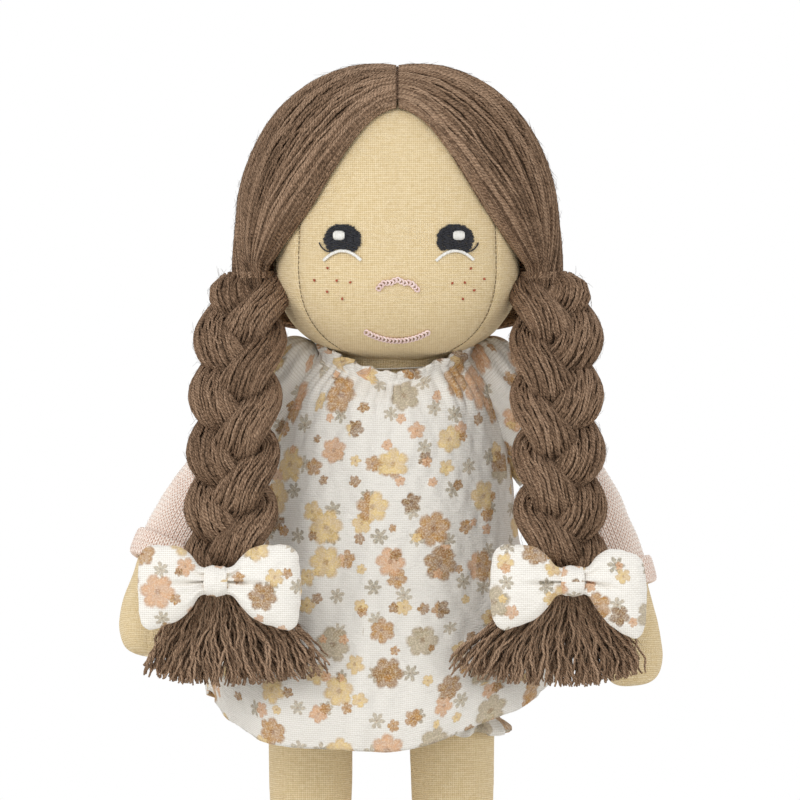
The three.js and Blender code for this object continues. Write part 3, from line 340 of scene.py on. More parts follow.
# %% Floor and world
WORLD_LIGHT = 0.69
FLOOR_SIZE, FLOOR_BELOW = 8, 0.2 * MM
SHADOW_FADES, SHADOW_ENDS = 0.2, 0.38
world = bpy.data.worlds.new("studio")
bpy.context.scene.world = world
world.use_nodes = True
sky = world.node_tree
rays = sky.nodes.new("ShaderNodeLightPath")
seen = sky.nodes.new("ShaderNodeMath")
seen.operation = "MAXIMUM"
sky.links.new(rays.outputs["Is Camera Ray"], seen.inputs[0])
gloss = sky.nodes.new("ShaderNodeMath")
gloss.operation = "MAXIMUM"
sky.links.new(rays.outputs["Is Glossy Ray"], gloss.inputs[0])
sky.links.new(rays.outputs["Is Transmission Ray"], gloss.inputs[1])
sky.links.new(gloss.outputs[0], seen.inputs[1])
strength = sky.nodes.new("ShaderNodeMapRange")
strength.inputs["To Min"].default_value = WORLD_LIGHT
strength.inputs["To Max"].default_value = 1.0
sky.links.new(seen.outputs[0], strength.inputs["Value"])
sky.links.new(strength.outputs[0], sky.nodes["Background"].inputs["Strength"])
sky.nodes["Background"].inputs["Color"].default_value = (1, 1, 1, 1)

bpy.ops.object.select_all(action="DESELECT")
bpy.ops.mesh.primitive_plane_add(size=FLOOR_SIZE, location=(0, 0, -FLOOR_BELOW))
floor = bpy.context.object
floor.name = "floor"
pale = Finish("pale_floor", 0.9, specular=0.1)
pale.finish("#f4f3f0")
white = pale.node("ShaderNodeEmission", Color=(1, 1, 1, 1), Strength=1.0)
paths = pale.node("ShaderNodeLightPath")
seen = pale.math("MAXIMUM", paths.outputs["Is Camera Ray"], paths.outputs["Is Glossy Ray"])
seen = pale.math("MAXIMUM", seen, paths.outputs["Is Transmission Ray"])
far = pale.step(pale.vector("LENGTH", pale.object_place()), SHADOW_FADES, SHADOW_ENDS)
blend = pale.node("ShaderNodeMixShader", Fac=pale.times(seen, far))
pale.tree.links.new(pale.shader.outputs[0], blend.inputs[1])
pale.tree.links.new(white.outputs[0], blend.inputs[2])
pale.tree.links.new(blend.outputs[0], pale.tree.nodes["Material Output"].inputs["Surface"])
floor.data.materials.append(pale.material)

# %% [markdown]
# Linen is a plain weave: threads that pass over and under each other, thick in one place and thin in the
# next. The weave reads the piece's own UV map, which is in metres, so the threads follow the cloth.

# %% Linen
LINEN_PITCH = 0.78 * MM
SLUB_LENGTH_SCALE = 190


def weave_height(cloth, x, y, pitch, warp_share):
    """Height of a plain weave at a place in metres, from 0 between threads to 1 on top of one."""
    sine_x = cloth.sine(cloth.times(x, math.pi / pitch))
    sine_y = cloth.sine(cloth.times(y, math.pi / pitch))
    over = cloth.times_plus(cloth.times(sine_x, sine_y), 0.5, 0.5)
    warp = cloth.times(cloth.without_sign(sine_x), cloth.times(over, warp_share))
    weft = cloth.times(cloth.without_sign(sine_y), cloth.minus(1.0, over))
    return cloth.math("MAXIMUM", warp, weft)


def linen(name, light, mid, dark):
    cloth = Finish(name, 0.88, sheen=0.1, specular=0.2)
    x, y, _ = cloth.parts(cloth.uv())
    soft = cloth.times(cloth.stretched_noise(x, y, 900, 900, 1.0), 0.25 * MM)
    x, y = cloth.plus(x, soft), cloth.minus(y, soft)
    height = weave_height(cloth, x, y, LINEN_PITCH, 0.72)
    slub_down = cloth.stretched_noise(x, y, 1 / LINEN_PITCH, SLUB_LENGTH_SCALE)
    slub_across = cloth.stretched_noise(x, y, SLUB_LENGTH_SCALE, 1 / LINEN_PITCH)
    slubs = cloth.times_plus(slub_down, 0.8, cloth.times(slub_across, 1.2))
    flecks = cloth.noise(cloth.object_place(), 900)
    colour = cloth.mix(cloth.step(slubs, 0.8, 1.2), mid, light)
    colour = cloth.mix(cloth.times(cloth.step(flecks, 0.5, 0.75), 0.35), colour, dark)
    # painted shade: the low places between the threads are darkened
    colour = cloth.mix(cloth.times(cloth.step(height, 0.62, 0.05), 0.85), colour, dark)
    return cloth.finish(colour, cloth.times_plus(slubs, 0.35, height), 0.22 * MM)


linen_finish = linen("skin_linen", "#f0deb9", "#e6d1a6", "#c2a572")

# %% [markdown]
# Wool yarn is two plies twisted together, soft and a little fuzzy. Each yarn is a real tube in the meshes
# below; the material adds the twist, a painted shadow line in the groove between the plies, and fibres. Every
# yarn carries its own shade as an attribute, because dyed wool is never one even brown; on the wig this
# attribute also holds painted shade that darkens the strands towards the ties.

# %% Wool
WOOL_TWIST, THREAD_TWIST = 3.3 * MM, 0.5 * MM


def twisted(yarn, twist):
    """The way round a twisted yarn, the way down it, and the height of its two plies."""
    around, down, _ = yarn.parts(yarn.uv())
    turn = yarn.times_plus(down, 1 / twist, around)
    return turn, down, yarn.without_sign(yarn.sine(yarn.times(turn, 2 * math.pi)))


def wool(name, light, mid, dark):
    yarn = Finish(name, 0.92, sheen=0.2, specular=0.12)
    yarn.shader.inputs["Sheen Tint"].default_value = linear(light)
    turn, down, ply = twisted(yarn, WOOL_TWIST)
    fibres = yarn.stretched_noise(turn, down, 9, 620, 3.0, 0.6)
    blotch = yarn.noise(yarn.object_place(), 900, 3.0, 0.6)
    tone = yarn.times_plus(fibres, 1.3, yarn.times(yarn.own_shade(), 0.4))
    tone = yarn.times_plus(blotch, 0.8, tone)
    colour = yarn.mix(yarn.step(tone, 1.1, 1.6), mid, light)
    colour = yarn.mix(yarn.step(tone, 1.2, 0.85), colour, dark)
    # painted shade: the groove between the two plies is darkened in colour
    colour = yarn.mix(yarn.times(yarn.step(ply, 0.6, 0.05), 0.5), colour, dark)
    return yarn.finish(colour, yarn.times_plus(fibres, 0.5, ply), 0.35 * MM)


wool_finish = wool("wool_yarn", "#b99b81", "#876c56", "#483729")

# %% [markdown]
# The gauze is a crinkled double cotton printed with small flowers in ink that soaks in unevenly. Each kind of
# flower has its own loose grid of cells; inside a cell the distance to its middle draws the petals. The kinds
# overlap here and there in small bunches, as a scattered print does. The threads of the cloth show through.

# %% Printed gauze
BIG_CELL, BIG_FLOWER = 22.5 * MM, 6.1 * MM
MEDIUM_CELL, MEDIUM_FLOWER = 19 * MM, 3.7 * MM
SMALL_CELL, SMALL_FLOWER = 15 * MM, 2.1 * MM
SPRIG_CELL, SPRIG = 16.5 * MM, 3.3 * MM
GAUZE_PITCH = 0.8 * MM
INK_WOBBLE = 1.3 * MM
GREY, OCHRE, PEACH = "#b3ad9f", "#e3c88c", "#d9ab86"
GOLD, BROWN, UMBER = "#b58545", "#9c7138", "#86602f"
FLOWER_KINDS = (
    (SPRIG_CELL, 0.55, 0.53, SPRIG, 6, 0.86, 0.6, [GREY, "#bab4a7", "#a49e90"]),
    (MEDIUM_CELL, 0.6, 0.87, MEDIUM_FLOWER, 5, 0.42, 1.6, [GOLD, OCHRE, PEACH, UMBER, OCHRE, GOLD]),
    (BIG_CELL, 0.6, 0.31, BIG_FLOWER, 6, 0.3, 2.2, [BROWN, OCHRE, GOLD, PEACH, OCHRE, "#b3a890"]),
    (SMALL_CELL, 0.7, 0.19, SMALL_FLOWER, 5, 0.4, 1.0, [BROWN, OCHRE, PEACH, GOLD]),
)


class Scatter:
    """Loose cells on the cloth: the way from each cell's middle, and random numbers of its own."""

    def __init__(self, cloth, place, cell, loose, shift):
        self.cloth = cloth
        shifted = cloth.vector("ADD", place, (shift * cell, 2.7 * shift * cell, 0.0))
        flat = {"voronoi_dimensions": "2D"}
        cells = cloth.node("ShaderNodeTexVoronoi", flat, Vector=shifted, Scale=1 / cell, Randomness=loose)
        middle = cells.outputs["Position"]
        away = cloth.vector("SUBTRACT", shifted, middle)
        self.reach = cloth.vector("LENGTH", away)
        dice = cloth.node("ShaderNodeTexWhiteNoise", {"noise_dimensions": "3D"}, Vector=middle)
        self.first, self.second, third = cloth.parts(dice.outputs["Color"])
        x, y, _ = cloth.parts(away)
        self.angle = cloth.times_plus(third, 2 * math.pi, cloth.math("ARCTAN2", y, x))

    def petals(self, radius, count, notch, swing):
        """How deep a place lies inside round petals: 1 on their rim, less inside; radius varies by swing."""
        cloth = self.cloth
        lobe = cloth.without_sign(cloth.math("COSINE", cloth.times(self.angle, count / 2)))
        rim = cloth.times_plus(cloth.math("POWER", lobe, 0.6), notch, 1 - notch)
        size = cloth.times_plus(self.second, swing, radius - swing / 2)
        return cloth.math("DIVIDE", self.reach, cloth.times(rim, size))


def choose(cloth, number, colours):
    ramp = cloth.node("ShaderNodeValToRGB", Fac=number)
    stops = ramp.color_ramp
    stops.interpolation = "CONSTANT"
    while len(stops.elements) < len(colours):
        stops.elements.new(0.5)
    for i, code in enumerate(colours):
        stops.elements[i].position = i / len(colours)
        stops.elements[i].color = linear(code)
    return ramp.outputs["Color"]


def flowers(cloth, place, ground, weave):
    """The print: flowers of three sizes and thin-rayed sprigs in browns, ochre, peach and grey."""
    wobble = cloth.node("ShaderNodeTexNoise", {"noise_dimensions": "2D"}, Vector=place, Scale=760, Detail=4.0)
    aside = cloth.vector("SUBTRACT", wobble.outputs["Color"], (0.5, 0.5, 0.5))
    inked = cloth.vector("ADD", place, cloth.vector("SCALE", aside, scale=INK_WOBBLE))
    flat = cloth.place(*cloth.parts(inked)[:2])
    blots = cloth.noise(cloth.vector("ADD", place, (0.7, 0.3, 0.0)), 340, 4.0, 0.65)
    thin = cloth.times_plus(cloth.step(blots, 0.4, 0.62), 0.22, 0.76)
    grain = cloth.noise(cloth.vector("ADD", place, (0.2, 0.9, 0.0)), 1500, 2.0, 0.7)
    speckle = cloth.times(cloth.step(grain, 0.46, 0.62), 0.46)
    thin = cloth.times(thin, cloth.times_plus(cloth.step(weave, 0.0, 0.4), 0.1, 0.9))
    wet = cloth.times(cloth.step(blots, 0.62, 0.42), 0.5)
    colour = ground
    for cell, loose, shift, radius, count, notch, swing, tones in FLOWER_KINDS:
        cells = Scatter(cloth, flat, cell, loose, shift)
        inside = cells.petals(radius, count, notch, swing * MM)
        mask = cloth.step(inside, 1.1, 0.84)
        tone = cloth.mix(wet, choose(cloth, cells.first, tones), "#dcc094", "MULTIPLY")
        rim = cloth.times(cloth.step(inside, 0.7, 0.98), 0.4)
        heart = cloth.times(cloth.step(inside, 0.26, 0.1), 0.7)
        tone = cloth.mix(cloth.math("MAXIMUM", rim, heart), tone, "#b9935f", "MULTIPLY")
        tone = cloth.mix(speckle, tone, "#f1e2c4")
        colour = cloth.mix(cloth.times(mask, thin), colour, tone)
    return colour


def gauze(name, white):
    cloth = Finish(name, 0.9, sheen=0.12, specular=0.12)
    place = cloth.uv()
    x, y, _ = cloth.parts(place)
    crepe = cloth.stretched_noise(x, y, 330, 1250, 2.0, 0.65)
    puffs = cloth.stretched_noise(x, y, 150, 210)
    soft = cloth.times(crepe, 0.3 * MM)
    weave = weave_height(cloth, cloth.plus(x, soft), cloth.plus(y, soft), GAUZE_PITCH, 0.6)
    height = cloth.times_plus(weave, 0.3, cloth.times(crepe, 1.7))
    height = cloth.times_plus(puffs, 2.0, height)
    # painted shade: the gaps between the threads are darkened towards grey
    painted_gap_shade = cloth.times(cloth.step(weave, 0.55, 0.05), 0.62)
    colour = cloth.mix(painted_gap_shade, white, "#c4bcae")
    return cloth.finish(flowers(cloth, place, colour, weave), height, 0.3 * MM)


gauze_finish = gauze("printed_gauze", "#edeae4")
bow_finish = gauze("bow_gauze", "#faf7f1")


# %% Threads
def thread(name, colour, dark):
    fine = Finish(name, 0.55, sheen=0.1, specular=0.35)
    _, _, ply = twisted(fine, THREAD_TWIST)
    # a random tone for each thread, plus painted shade in the groove between the plies
    share = fine.times_plus(fine.own_shade(), 0.5, fine.times(fine.step(ply, 0.6, 0.0), 0.5))
    return fine.finish(fine.mix(share, colour, dark), ply, 0.05 * MM)


eye_thread = thread("eye_thread", "#23242c", "#0d0e14")
white_thread = thread("white_thread", "#fbfaf6", "#ded9ce")
pink_thread = thread("pink_thread", "#f8e3de", "#e3bfb9")
rust_thread = thread("rust_thread", "#b5522f", "#94402a")
seam_thread = thread("seam_thread", "#7d6848", "#5a4a33")
elastic_finish = Finish("elastic_thread", 0.25, specular=0.5).finish("#e9e4da")

# %% [markdown]
# Yarns and threads are tubes along lines. One helper makes any number of them at once as one mesh: it
# carries a pair of directions along each line without twisting, draws a ring at each point, and closes the
# ends. This is done in mesh code, because hundreds of curves with a bevel would take far longer to make.


# %% Meshes from points
def new_mesh(name, points, quads, caps, uv, shade=None):
    """An object from points, four-sided faces and many-sided caps, of which there may be none."""
    mesh = bpy.data.meshes.new(name)
    faces = [np.asarray(quads, np.int32).reshape(-1, 4)]
    if len(caps):
        faces.append(np.asarray(caps, np.int32))
    loops = np.concatenate([f.ravel() for f in faces])
    sizes = np.concatenate([np.full(len(f), f.shape[1]) for f in faces])
    mesh.vertices.add(len(points))
    mesh.vertices.foreach_set("co", np.asarray(points, np.float32).ravel())
    mesh.loops.add(len(loops))
    mesh.loops.foreach_set("vertex_index", loops)
    mesh.polygons.add(len(sizes))
    starts = np.concatenate([[0], np.cumsum(sizes)[:-1]])
    mesh.polygons.foreach_set("loop_start", starts.astype(np.int32))
    mesh.polygons.foreach_set("use_smooth", np.ones(len(sizes), bool))
    mesh.uv_layers.new(name="cloth").data.foreach_set("uv", np.asarray(uv, np.float32).ravel())
    if shade is not None:
        shades = mesh.attributes.new("shade", "FLOAT", "POINT")
        shades.data.foreach_set("value", np.asarray(shade, np.float32))
    mesh.update(calc_edges=True)
    mesh.validate()
    piece = bpy.data.objects.new(name, mesh)
    bpy.context.scene.collection.objects.link(piece)
    return piece


def carried_directions(lines):
    """Directions across and up for each point of each line, without twist."""
    ahead = unit(np.gradient(lines, axis=1))
    start = np.where(np.abs(ahead[:, 0, 2:3]) < 0.8, [[0.0, 0.0, 1.0]], [[1.0, 0.0, 0.0]])
    across = np.zeros_like(lines)
    previous = np.cross(ahead[:, 0], start)
    for i in range(lines.shape[1]):
        level = previous - (previous * ahead[:, i]).sum(-1, keepdims=True) * ahead[:, i]
        across[:, i] = previous = unit(level)
    return across, np.cross(ahead, across)


def yarns(name, lines, radii, material, sides=6, seed=1, shade=None):
    """Closed tubes along lines of points; radii is one number or one for each point."""
    lines = np.asarray(lines, float)
    count, points = lines.shape[:2]
    radii = np.broadcast_to(np.asarray(radii, float), (count, points))
    across, up = carried_directions(lines)
    turn = full_turn(sides)
    ring = np.cos(turn)[:, None] * across[:, :, None] + np.sin(turn)[:, None] * up[:, :, None]
    spots = lines[:, :, None] + radii[:, :, None, None] * ring
    index = np.arange(count * points * sides).reshape(count, points, sides)
    after = np.roll(index, -1, axis=2)
    quads = np.stack([index[:, :-1], after[:, :-1], after[:, 1:], index[:, 1:]], -1).reshape(-1, 4)
    caps = np.concatenate([index[:, 0, ::-1], index[:, -1]])
    steps = np.linalg.norm(np.diff(lines, axis=1), axis=2)
    length = np.concatenate([np.zeros((count, 1)), np.cumsum(steps, axis=1)], axis=1)
    rng = np.random.default_rng(seed)
    length = length + rng.uniform(0, 0.01, (count, 1))
    around = np.arange(sides + 1) / sides
    u = np.broadcast_to(around[:-1], (count, points - 1, sides))
    u_next = np.broadcast_to(around[1:], (count, points - 1, sides))
    v = np.broadcast_to(length[:, :-1, None], u.shape)
    v_next = np.broadcast_to(length[:, 1:, None], u.shape)
    uv = np.stack([np.stack(pair, -1) for pair in ((u, v), (u_next, v), (u_next, v_next), (u, v_next))], 3)
    ends = np.concatenate([length[:, 0], length[:, -1]])
    cap_uv = stacked(around[None, :-1], ends[:, None])
    uv = np.concatenate([uv.reshape(-1, 2), cap_uv.reshape(-1, 2)])
    tone = rng.uniform(0, 1, count) if shade is None else np.asarray(shade)
    tones = np.repeat(np.broadcast_to(tone.reshape(count, -1), (count, points)), sides)
    piece = new_mesh(name, spots.reshape(-1, 3), quads, caps, uv, tones)
    piece.data.materials.append(material)
    return piece


def grid_piece(name, points, material, uv, closed=False, caps=False, outward=1):
    """A sheet from a grid of points; closed joins its last column to its first."""
    points = np.asarray(points, float)
    rows, columns = points.shape[:2]
    index = np.arange(rows * columns).reshape(rows, columns)
    after = np.roll(index, -1, axis=1) if closed else index[:, 1:]
    here = index if closed else index[:, :-1]
    quads = np.stack([here[:-1], after[:-1], after[1:], here[1:]], -1)
    uv = np.asarray(uv, float)
    width = quads.shape[1]
    loops = [uv[:-1, :width], uv[:-1, 1 : width + 1], uv[1:, 1 : width + 1], uv[1:, :width]]
    loops = np.stack(loops, 2)
    if outward < 0:
        quads = quads[..., ::-1]
        loops = loops[:, :, ::-1]
    quads, loops = quads.reshape(-1, 4), loops.reshape(-1, 2)
    ends = []
    if caps:
        ends = np.stack([index[0, ::-1], index[-1]] if outward > 0 else [index[0], index[-1, ::-1]])
        loops = np.concatenate([loops, np.tile(uv[0, :1], (columns, 1)), np.tile(uv[-1, :1], (columns, 1))])
    piece = new_mesh(name, points.reshape(-1, 3), quads, ends, loops)
    piece.data.materials.append(material)
    return piece


def select_only(piece):
    bpy.ops.object.select_all(action="DESELECT")
    bpy.context.view_layer.objects.active = piece
    piece.select_set(True)


def apply_modifiers(piece):
    select_only(piece)
    for modifier in list(piece.modifiers):
        bpy.ops.object.modifier_apply(modifier=modifier.name)


def give_thickness(piece, thickness):
    """Turns a sheet without thickness into cloth, inwards from its face."""
    wall = piece.modifiers.new("thickness", "SOLIDIFY")
    wall.thickness = thickness
    wall.offset = -1
    apply_modifiers(piece)


def read_loops(mesh):
    """The vertex of each face corner."""
    vertex = np.empty(len(mesh.loops), np.int32)
    mesh.loops.foreach_get("vertex_index", vertex)
    return vertex


def positions(piece):
    flat = np.empty(len(piece.data.vertices) * 3, np.float32)
    piece.data.vertices.foreach_get("co", flat)
    return flat.reshape(-1, 3).astype(float)


def settle(piece, body, slot, *nodes):
    """The last step of each piece: its body and the nodes that it stands for; slot, its finish, is not used.
    """
    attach(piece, body)
    if nodes:
        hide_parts(*nodes)
    print(piece.name, len(piece.data.polygons), "faces")
    return piece


# %% [markdown]
# The head is a tight bag of linen sewn from a face, two cheeks and a back. A sphere is the start; its points
# are drawn out to the rounded box shape of the stuffed bag, the seams are pulled in, and each panel gets its
# own straight grain in the UV map, so the weave breaks at the seams as it does on sewn cloth.

# %% The rounded surface of the head
HEAD_HALF_WIDTH, FACE_DEPTH, HEAD_BACK = 47.5 * MM, 46 * MM, 50 * MM
HEAD_DROP, HEAD_RISE = 37.5 * MM, 73 * MM
HEAD_POWER = 2.35
CHEEK_SEAM, BACK_SEAM = 51, 125
SEAM_DEGREES = (-BACK_SEAM, -CHEEK_SEAM, CHEEK_SEAM, BACK_SEAM)
HEAD_SEGMENTS, HEAD_RINGS = 256, 110
SEAM_DEPTH, PUCKER_DEPTH = 0.75 * MM, 0.22 * MM


def rounded_reach(direction, half_width, front, back, low, high):
    """The distance to a rounded box in a direction, for any number of directions."""
    x, y, z = np.moveaxis(direction, -1, 0)
    wide = (np.abs(x) / half_width) ** HEAD_POWER
    deep = (np.abs(y) / np.where(y < 0, front, back)) ** HEAD_POWER
    tall = (np.abs(z) / np.where(z < 0, low, high)) ** HEAD_POWER
    return (wide + deep + tall) ** (-1 / HEAD_POWER)


def head_reach(direction):
    return rounded_reach(direction, HEAD_HALF_WIDTH, FACE_DEPTH, HEAD_BACK, HEAD_DROP, HEAD_RISE)


def face_point(x, z, lift=0.0):
    """A point on the face, across from its middle line and above its widest level."""
    high = np.where(z < 0, HEAD_DROP, HEAD_RISE) + lift
    left = 1 - (np.abs(x) / (HEAD_HALF_WIDTH + lift)) ** HEAD_POWER - (np.abs(z) / high) ** HEAD_POWER
    y = -(FACE_DEPTH + lift) * np.maximum(left, 0) ** (1 / HEAD_POWER)
    return stacked(x, y, z) + HEAD


# %% Head
bpy.ops.object.select_all(action="DESELECT")
sphere = {"segments": HEAD_SEGMENTS, "ring_count": HEAD_RINGS}
bpy.ops.mesh.primitive_uv_sphere_add(radius=0.05, location=tuple(HEAD), **sphere)
head = bpy.context.object
head.name = "head_linen"
bpy.ops.object.transform_apply(location=True)
bpy.ops.object.shade_smooth()
directions = unit(positions(head) - HEAD)
compass = np.degrees(np.arctan2(directions[:, 0], -directions[:, 1]))
level = np.sqrt(1 - directions[:, 2] ** 2)
swell = 0.35 * MM * waves(3, directions[:, 0] * 3, directions[:, 1] * 3, directions[:, 2] * 3)
for seam in SEAM_DEGREES:
    away = np.radians(np.abs(compass - seam)) * HEAD_HALF_WIDTH * level
    puckers = 0.5 + 0.5 * np.sin(directions[:, 2] * 60 + seam)
    swell = swell - SEAM_DEPTH * bell(away, 1.1 * MM)
    swell = swell - PUCKER_DEPTH * puckers * bell(away, 3.5 * MM)
stuffed = HEAD + directions * (head_reach(directions) + swell)[:, None]
head.data.vertices.foreach_set("co", np.asarray(stuffed, np.float32).ravel())
head.data.update()
head.data.materials.append(linen_finish)


def straight_grain(mesh, spots):
    """Places on the cloth of each panel: round the head from the middle of the face, and up it."""
    turn = np.linspace(-math.pi, math.pi, 721)
    ring = np.stack([np.sin(turn), -np.cos(turn), 0 * turn], -1)
    ring = ring * head_reach(ring)[:, None]
    round_way = way_along(ring)
    round_way = round_way - np.interp(0, turn, round_way)
    rise = np.linspace(-math.pi / 2, math.pi / 2, 361)
    profile = np.stack([0 * rise, -np.cos(rise), np.sin(rise)], -1)
    profile = profile * head_reach(profile)[:, None]
    centres = np.empty(len(mesh.polygons) * 3, np.float32)
    mesh.polygons.foreach_get("center", centres)
    sizes = np.empty(len(mesh.polygons), np.int32)
    mesh.polygons.foreach_get("loop_total", sizes)
    centres = np.repeat(centres.reshape(-1, 3), sizes, axis=0) - HEAD
    panel = np.abs(np.degrees(np.arctan2(centres[:, 0], -centres[:, 1])))
    front = np.abs(turn) <= math.pi / 2
    u_front = np.interp(spots[:, 0], ring[front, 0], round_way[front])
    side = (turn > 0.2) & (turn < math.pi - 0.2)
    u_side = np.interp(spots[:, 1], ring[side, 1], round_way[side])
    u = np.where(panel < CHEEK_SEAM, u_front, np.where(panel < BACK_SEAM, u_side, -u_front))
    v = np.interp(spots[:, 2], profile[:, 2], way_along(profile))
    return np.stack([u, v], -1).astype(np.float32)


grain = straight_grain(head.data, positions(head)[read_loops(head.data)] - HEAD)
head.data.uv_layers.active.data.foreach_set("uv", grain.ravel())
settle(
    head, "head", "skin_linen",
    "face_panel", "cheek_panel_left", "cheek_panel_right", "head_back_panel", "head_stuffing",
)

# %% [markdown]
# The seams are held by dark thread that shows as small stitches in the groove. Embroidery lies on the face:
# each eye is a fill of short black stitches with a thin lash, a white satin glint and a white satin lower
# lid, the nose and mouth are chain stitch, and the freckles are tiny crosses. Each stitch is a bent thread.

# %% Stitches on the face
STITCH = 0.27 * MM
SATIN_PITCH = 0.34 * MM
EYE_ABOVE = 10.2 * MM
EYE_HALF_WIDTH, EYE_HALF_HEIGHT = 7.1 * MM, 5.9 * MM
EYE_PLACES = {"left": 22.1 * MM, "right": -21.0 * MM}
FILL_PITCH, FILL_STITCH, FILL_RAGGED = 0.4 * MM, 3 * MM, 0.32 * MM
SHORTEST_ROW, SHORTEST_STITCH = 0.5 * MM, 0.35 * MM
LID_TOP, LID_DROP, LID_HALF_WIDTH = 6.2 * MM, 3.7 * MM, 7.2 * MM
LASH = np.array([(4.9, 5.5), (6.4, 5.9), (7.5, 6.7), (8.4, 7.8), (8.9, 9.0)]) * MM
GLINT_OUT, GLINT_ABOVE = 1.4 * MM, 1.6 * MM
GLINT_HALF_WIDTH, GLINT_HALF_HEIGHT = 2.3 * MM, 1.75 * MM


def face_stitches(name, starts, ends, material, radius=STITCH, lift=0.25 * MM):
    """Short threads from starts to ends on the face, each a little arched."""
    share = np.linspace(0, 1, 6)
    way = lerp(np.asarray(starts)[:, None], np.asarray(ends)[:, None], share[None, :, None])
    height = lift + 0.3 * MM * np.sin(math.pi * share)
    lines = face_point(way[..., 0], way[..., 1], height[None])
    radii = radius * (0.55 + 0.45 * np.sin(math.pi * np.clip(share, 0.12, 0.88)))
    return yarns(name, lines, radii, material)


def fill_rows(edges, seed):
    """Stitch starts and ends that fill an eye row by row; edges gives the outline at a height."""
    rng = np.random.default_rng(seed)
    starts, ends = [], []
    for z in np.arange(EYE_ABOVE - EYE_HALF_HEIGHT + 0.3 * MM, EYE_ABOVE + EYE_HALF_HEIGHT, FILL_PITCH):
        low, high = edges(z)
        low = low + rng.uniform(-FILL_RAGGED, FILL_RAGGED)
        high = high + rng.uniform(-FILL_RAGGED, FILL_RAGGED)
        if high - low < SHORTEST_ROW:
            continue
        x = low - rng.uniform(0, 0.6) * FILL_STITCH
        while x < high:
            after = x + FILL_STITCH * rng.uniform(0.8, 1.2)
            a, b = max(x, low), min(after, high)
            if b - a > SHORTEST_STITCH:
                starts.append((a, z + rng.uniform(-0.08, 0.08) * MM))
                ends.append((b, z + rng.uniform(-0.08, 0.08) * MM))
            x = after
    return np.array(starts), np.array(ends)


def lid_height(across):
    return LID_TOP - LID_DROP * (across / LID_HALF_WIDTH) ** 2


def line_frame(points, stations, way):
    """Points of a flat line at some distances, with the directions along and across it."""
    line = at_stations(stations, way, points)
    ahead = unit(np.gradient(line, axis=0))
    return line, ahead, np.stack([-ahead[:, 1], ahead[:, 0]], -1)


def satin_line(points, half_width):
    """Stitches laid across a line of (x, z) points."""
    way = way_along(points)
    line, _, across = line_frame(points, np.arange(0, way[-1], SATIN_PITCH), way)
    return line - across * half_width, line + across * half_width


def eye_stitches(name):
    middle, out = EYE_PLACES[name], SIDES[name]

    def edges(z):
        half = EYE_HALF_WIDTH * math.sqrt(max(1 - ((z - EYE_ABOVE) / EYE_HALF_HEIGHT) ** 2, 0)) ** 0.9
        return middle - half, middle + half

    starts, ends = fill_rows(edges, 11 + out)
    keep = (starts[:, 1] > lid_height(starts[:, 0] - middle)) & (ends[:, 1] > lid_height(ends[:, 0] - middle))
    lash_starts, lash_ends = satin_line(LASH * (out, 1) + (middle, 0), 0.14 * MM)
    starts, ends = np.concatenate([starts[keep], lash_starts]), np.concatenate([ends[keep], lash_ends])
    piece = face_stitches(f"eye_stitches_{name}", starts, ends, eye_thread)
    settle(piece, "head", "eye_thread", f"eye_{name}")

    turns = np.arange(-5, 6) * 0.4 * MM
    half = GLINT_HALF_HEIGHT * np.sqrt(1 - (turns / GLINT_HALF_WIDTH) ** 4)
    across, glint = middle + out * GLINT_OUT + turns, EYE_ABOVE + GLINT_ABOVE
    starts, ends = np.stack([across, glint - half], -1), np.stack([across, glint + half], -1)
    piece = face_stitches(f"eye_glint_{name}", starts, ends, white_thread, lift=0.8 * MM)
    settle(piece, "head", "white_thread", f"eye_highlight_{name}")

    across = np.linspace(-LID_HALF_WIDTH, LID_HALF_WIDTH, 30)
    starts, ends = satin_line(np.stack([middle + across, lid_height(across) - 0.3 * MM], -1), 0.52 * MM)
    piece = face_stitches(f"lid_stitches_{name}", starts, ends, white_thread, lift=0.4 * MM)
    settle(piece, "head", "white_thread", f"lower_lid_{name}")


for name in SIDES:
    eye_stitches(name)

# %% Nose, mouth and freckles
CHAIN_LINK, CHAIN_HALF_WIDTH, CHAIN_THREAD = 1.75 * MM, 0.82 * MM, 0.38 * MM
NOSE = {"half_width": 7.7 * MM, "middle": -5.5 * MM, "rise": -3.0 * MM, "bumps": 0.45 * MM}
MOUTH = {"half_width": 12.5 * MM, "middle": -28.8 * MM, "rise": 3.7 * MM}
FRECKLES = [(-26.7, -0.7), (-31.8, -5.5), (-23.2, -5.5), (-18.0, -6.1), (-26.9, -9.8), (-21.1, -12.5)]
FRECKLES += [(28.1, -0.9), (33.3, -5.0), (25.8, -6.3), (21.0, -6.5), (29.4, -9.3), (25.1, -12.6)]
KNOT_HALF_LENGTH, KNOT_TURN = 0.42 * MM, 2.2


def chain_stitch(name, points):
    """A row of looped links along a line of (x, z) points."""
    way = way_along(points)
    middles = np.arange(CHAIN_LINK / 2, way[-1], CHAIN_LINK * 0.82)
    line, ahead, across = line_frame(points, middles, way)
    turn = np.linspace(-math.pi, math.pi, 15)
    far = CHAIN_LINK / 2 * np.cos(turn)
    side = CHAIN_HALF_WIDTH * np.sin(turn) * (1 - 0.35 * np.cos(turn))
    loops = line[:, None] + far[None, :, None] * ahead[:, None] + side[None, :, None] * across[:, None]
    lift = 0.45 * MM + 0.28 * MM * np.cos(turn)
    lines = face_point(loops[..., 0], loops[..., 1], lift[None])
    return yarns(name, lines, CHAIN_THREAD, pink_thread, seed=5)


def arc(half_width, middle, rise, bumps=0.0):
    across = np.linspace(-half_width, half_width, 40)
    share = across / half_width
    return np.stack([across, middle + rise * share**2 + bumps * np.cos(share * 3 * math.pi)], -1)


settle(chain_stitch("nose_stitches", arc(**NOSE)), "head", "pink_thread", "nose_stitching")
settle(chain_stitch("mouth_stitches", arc(**MOUTH)), "head", "pink_thread", "mouth_stitching")

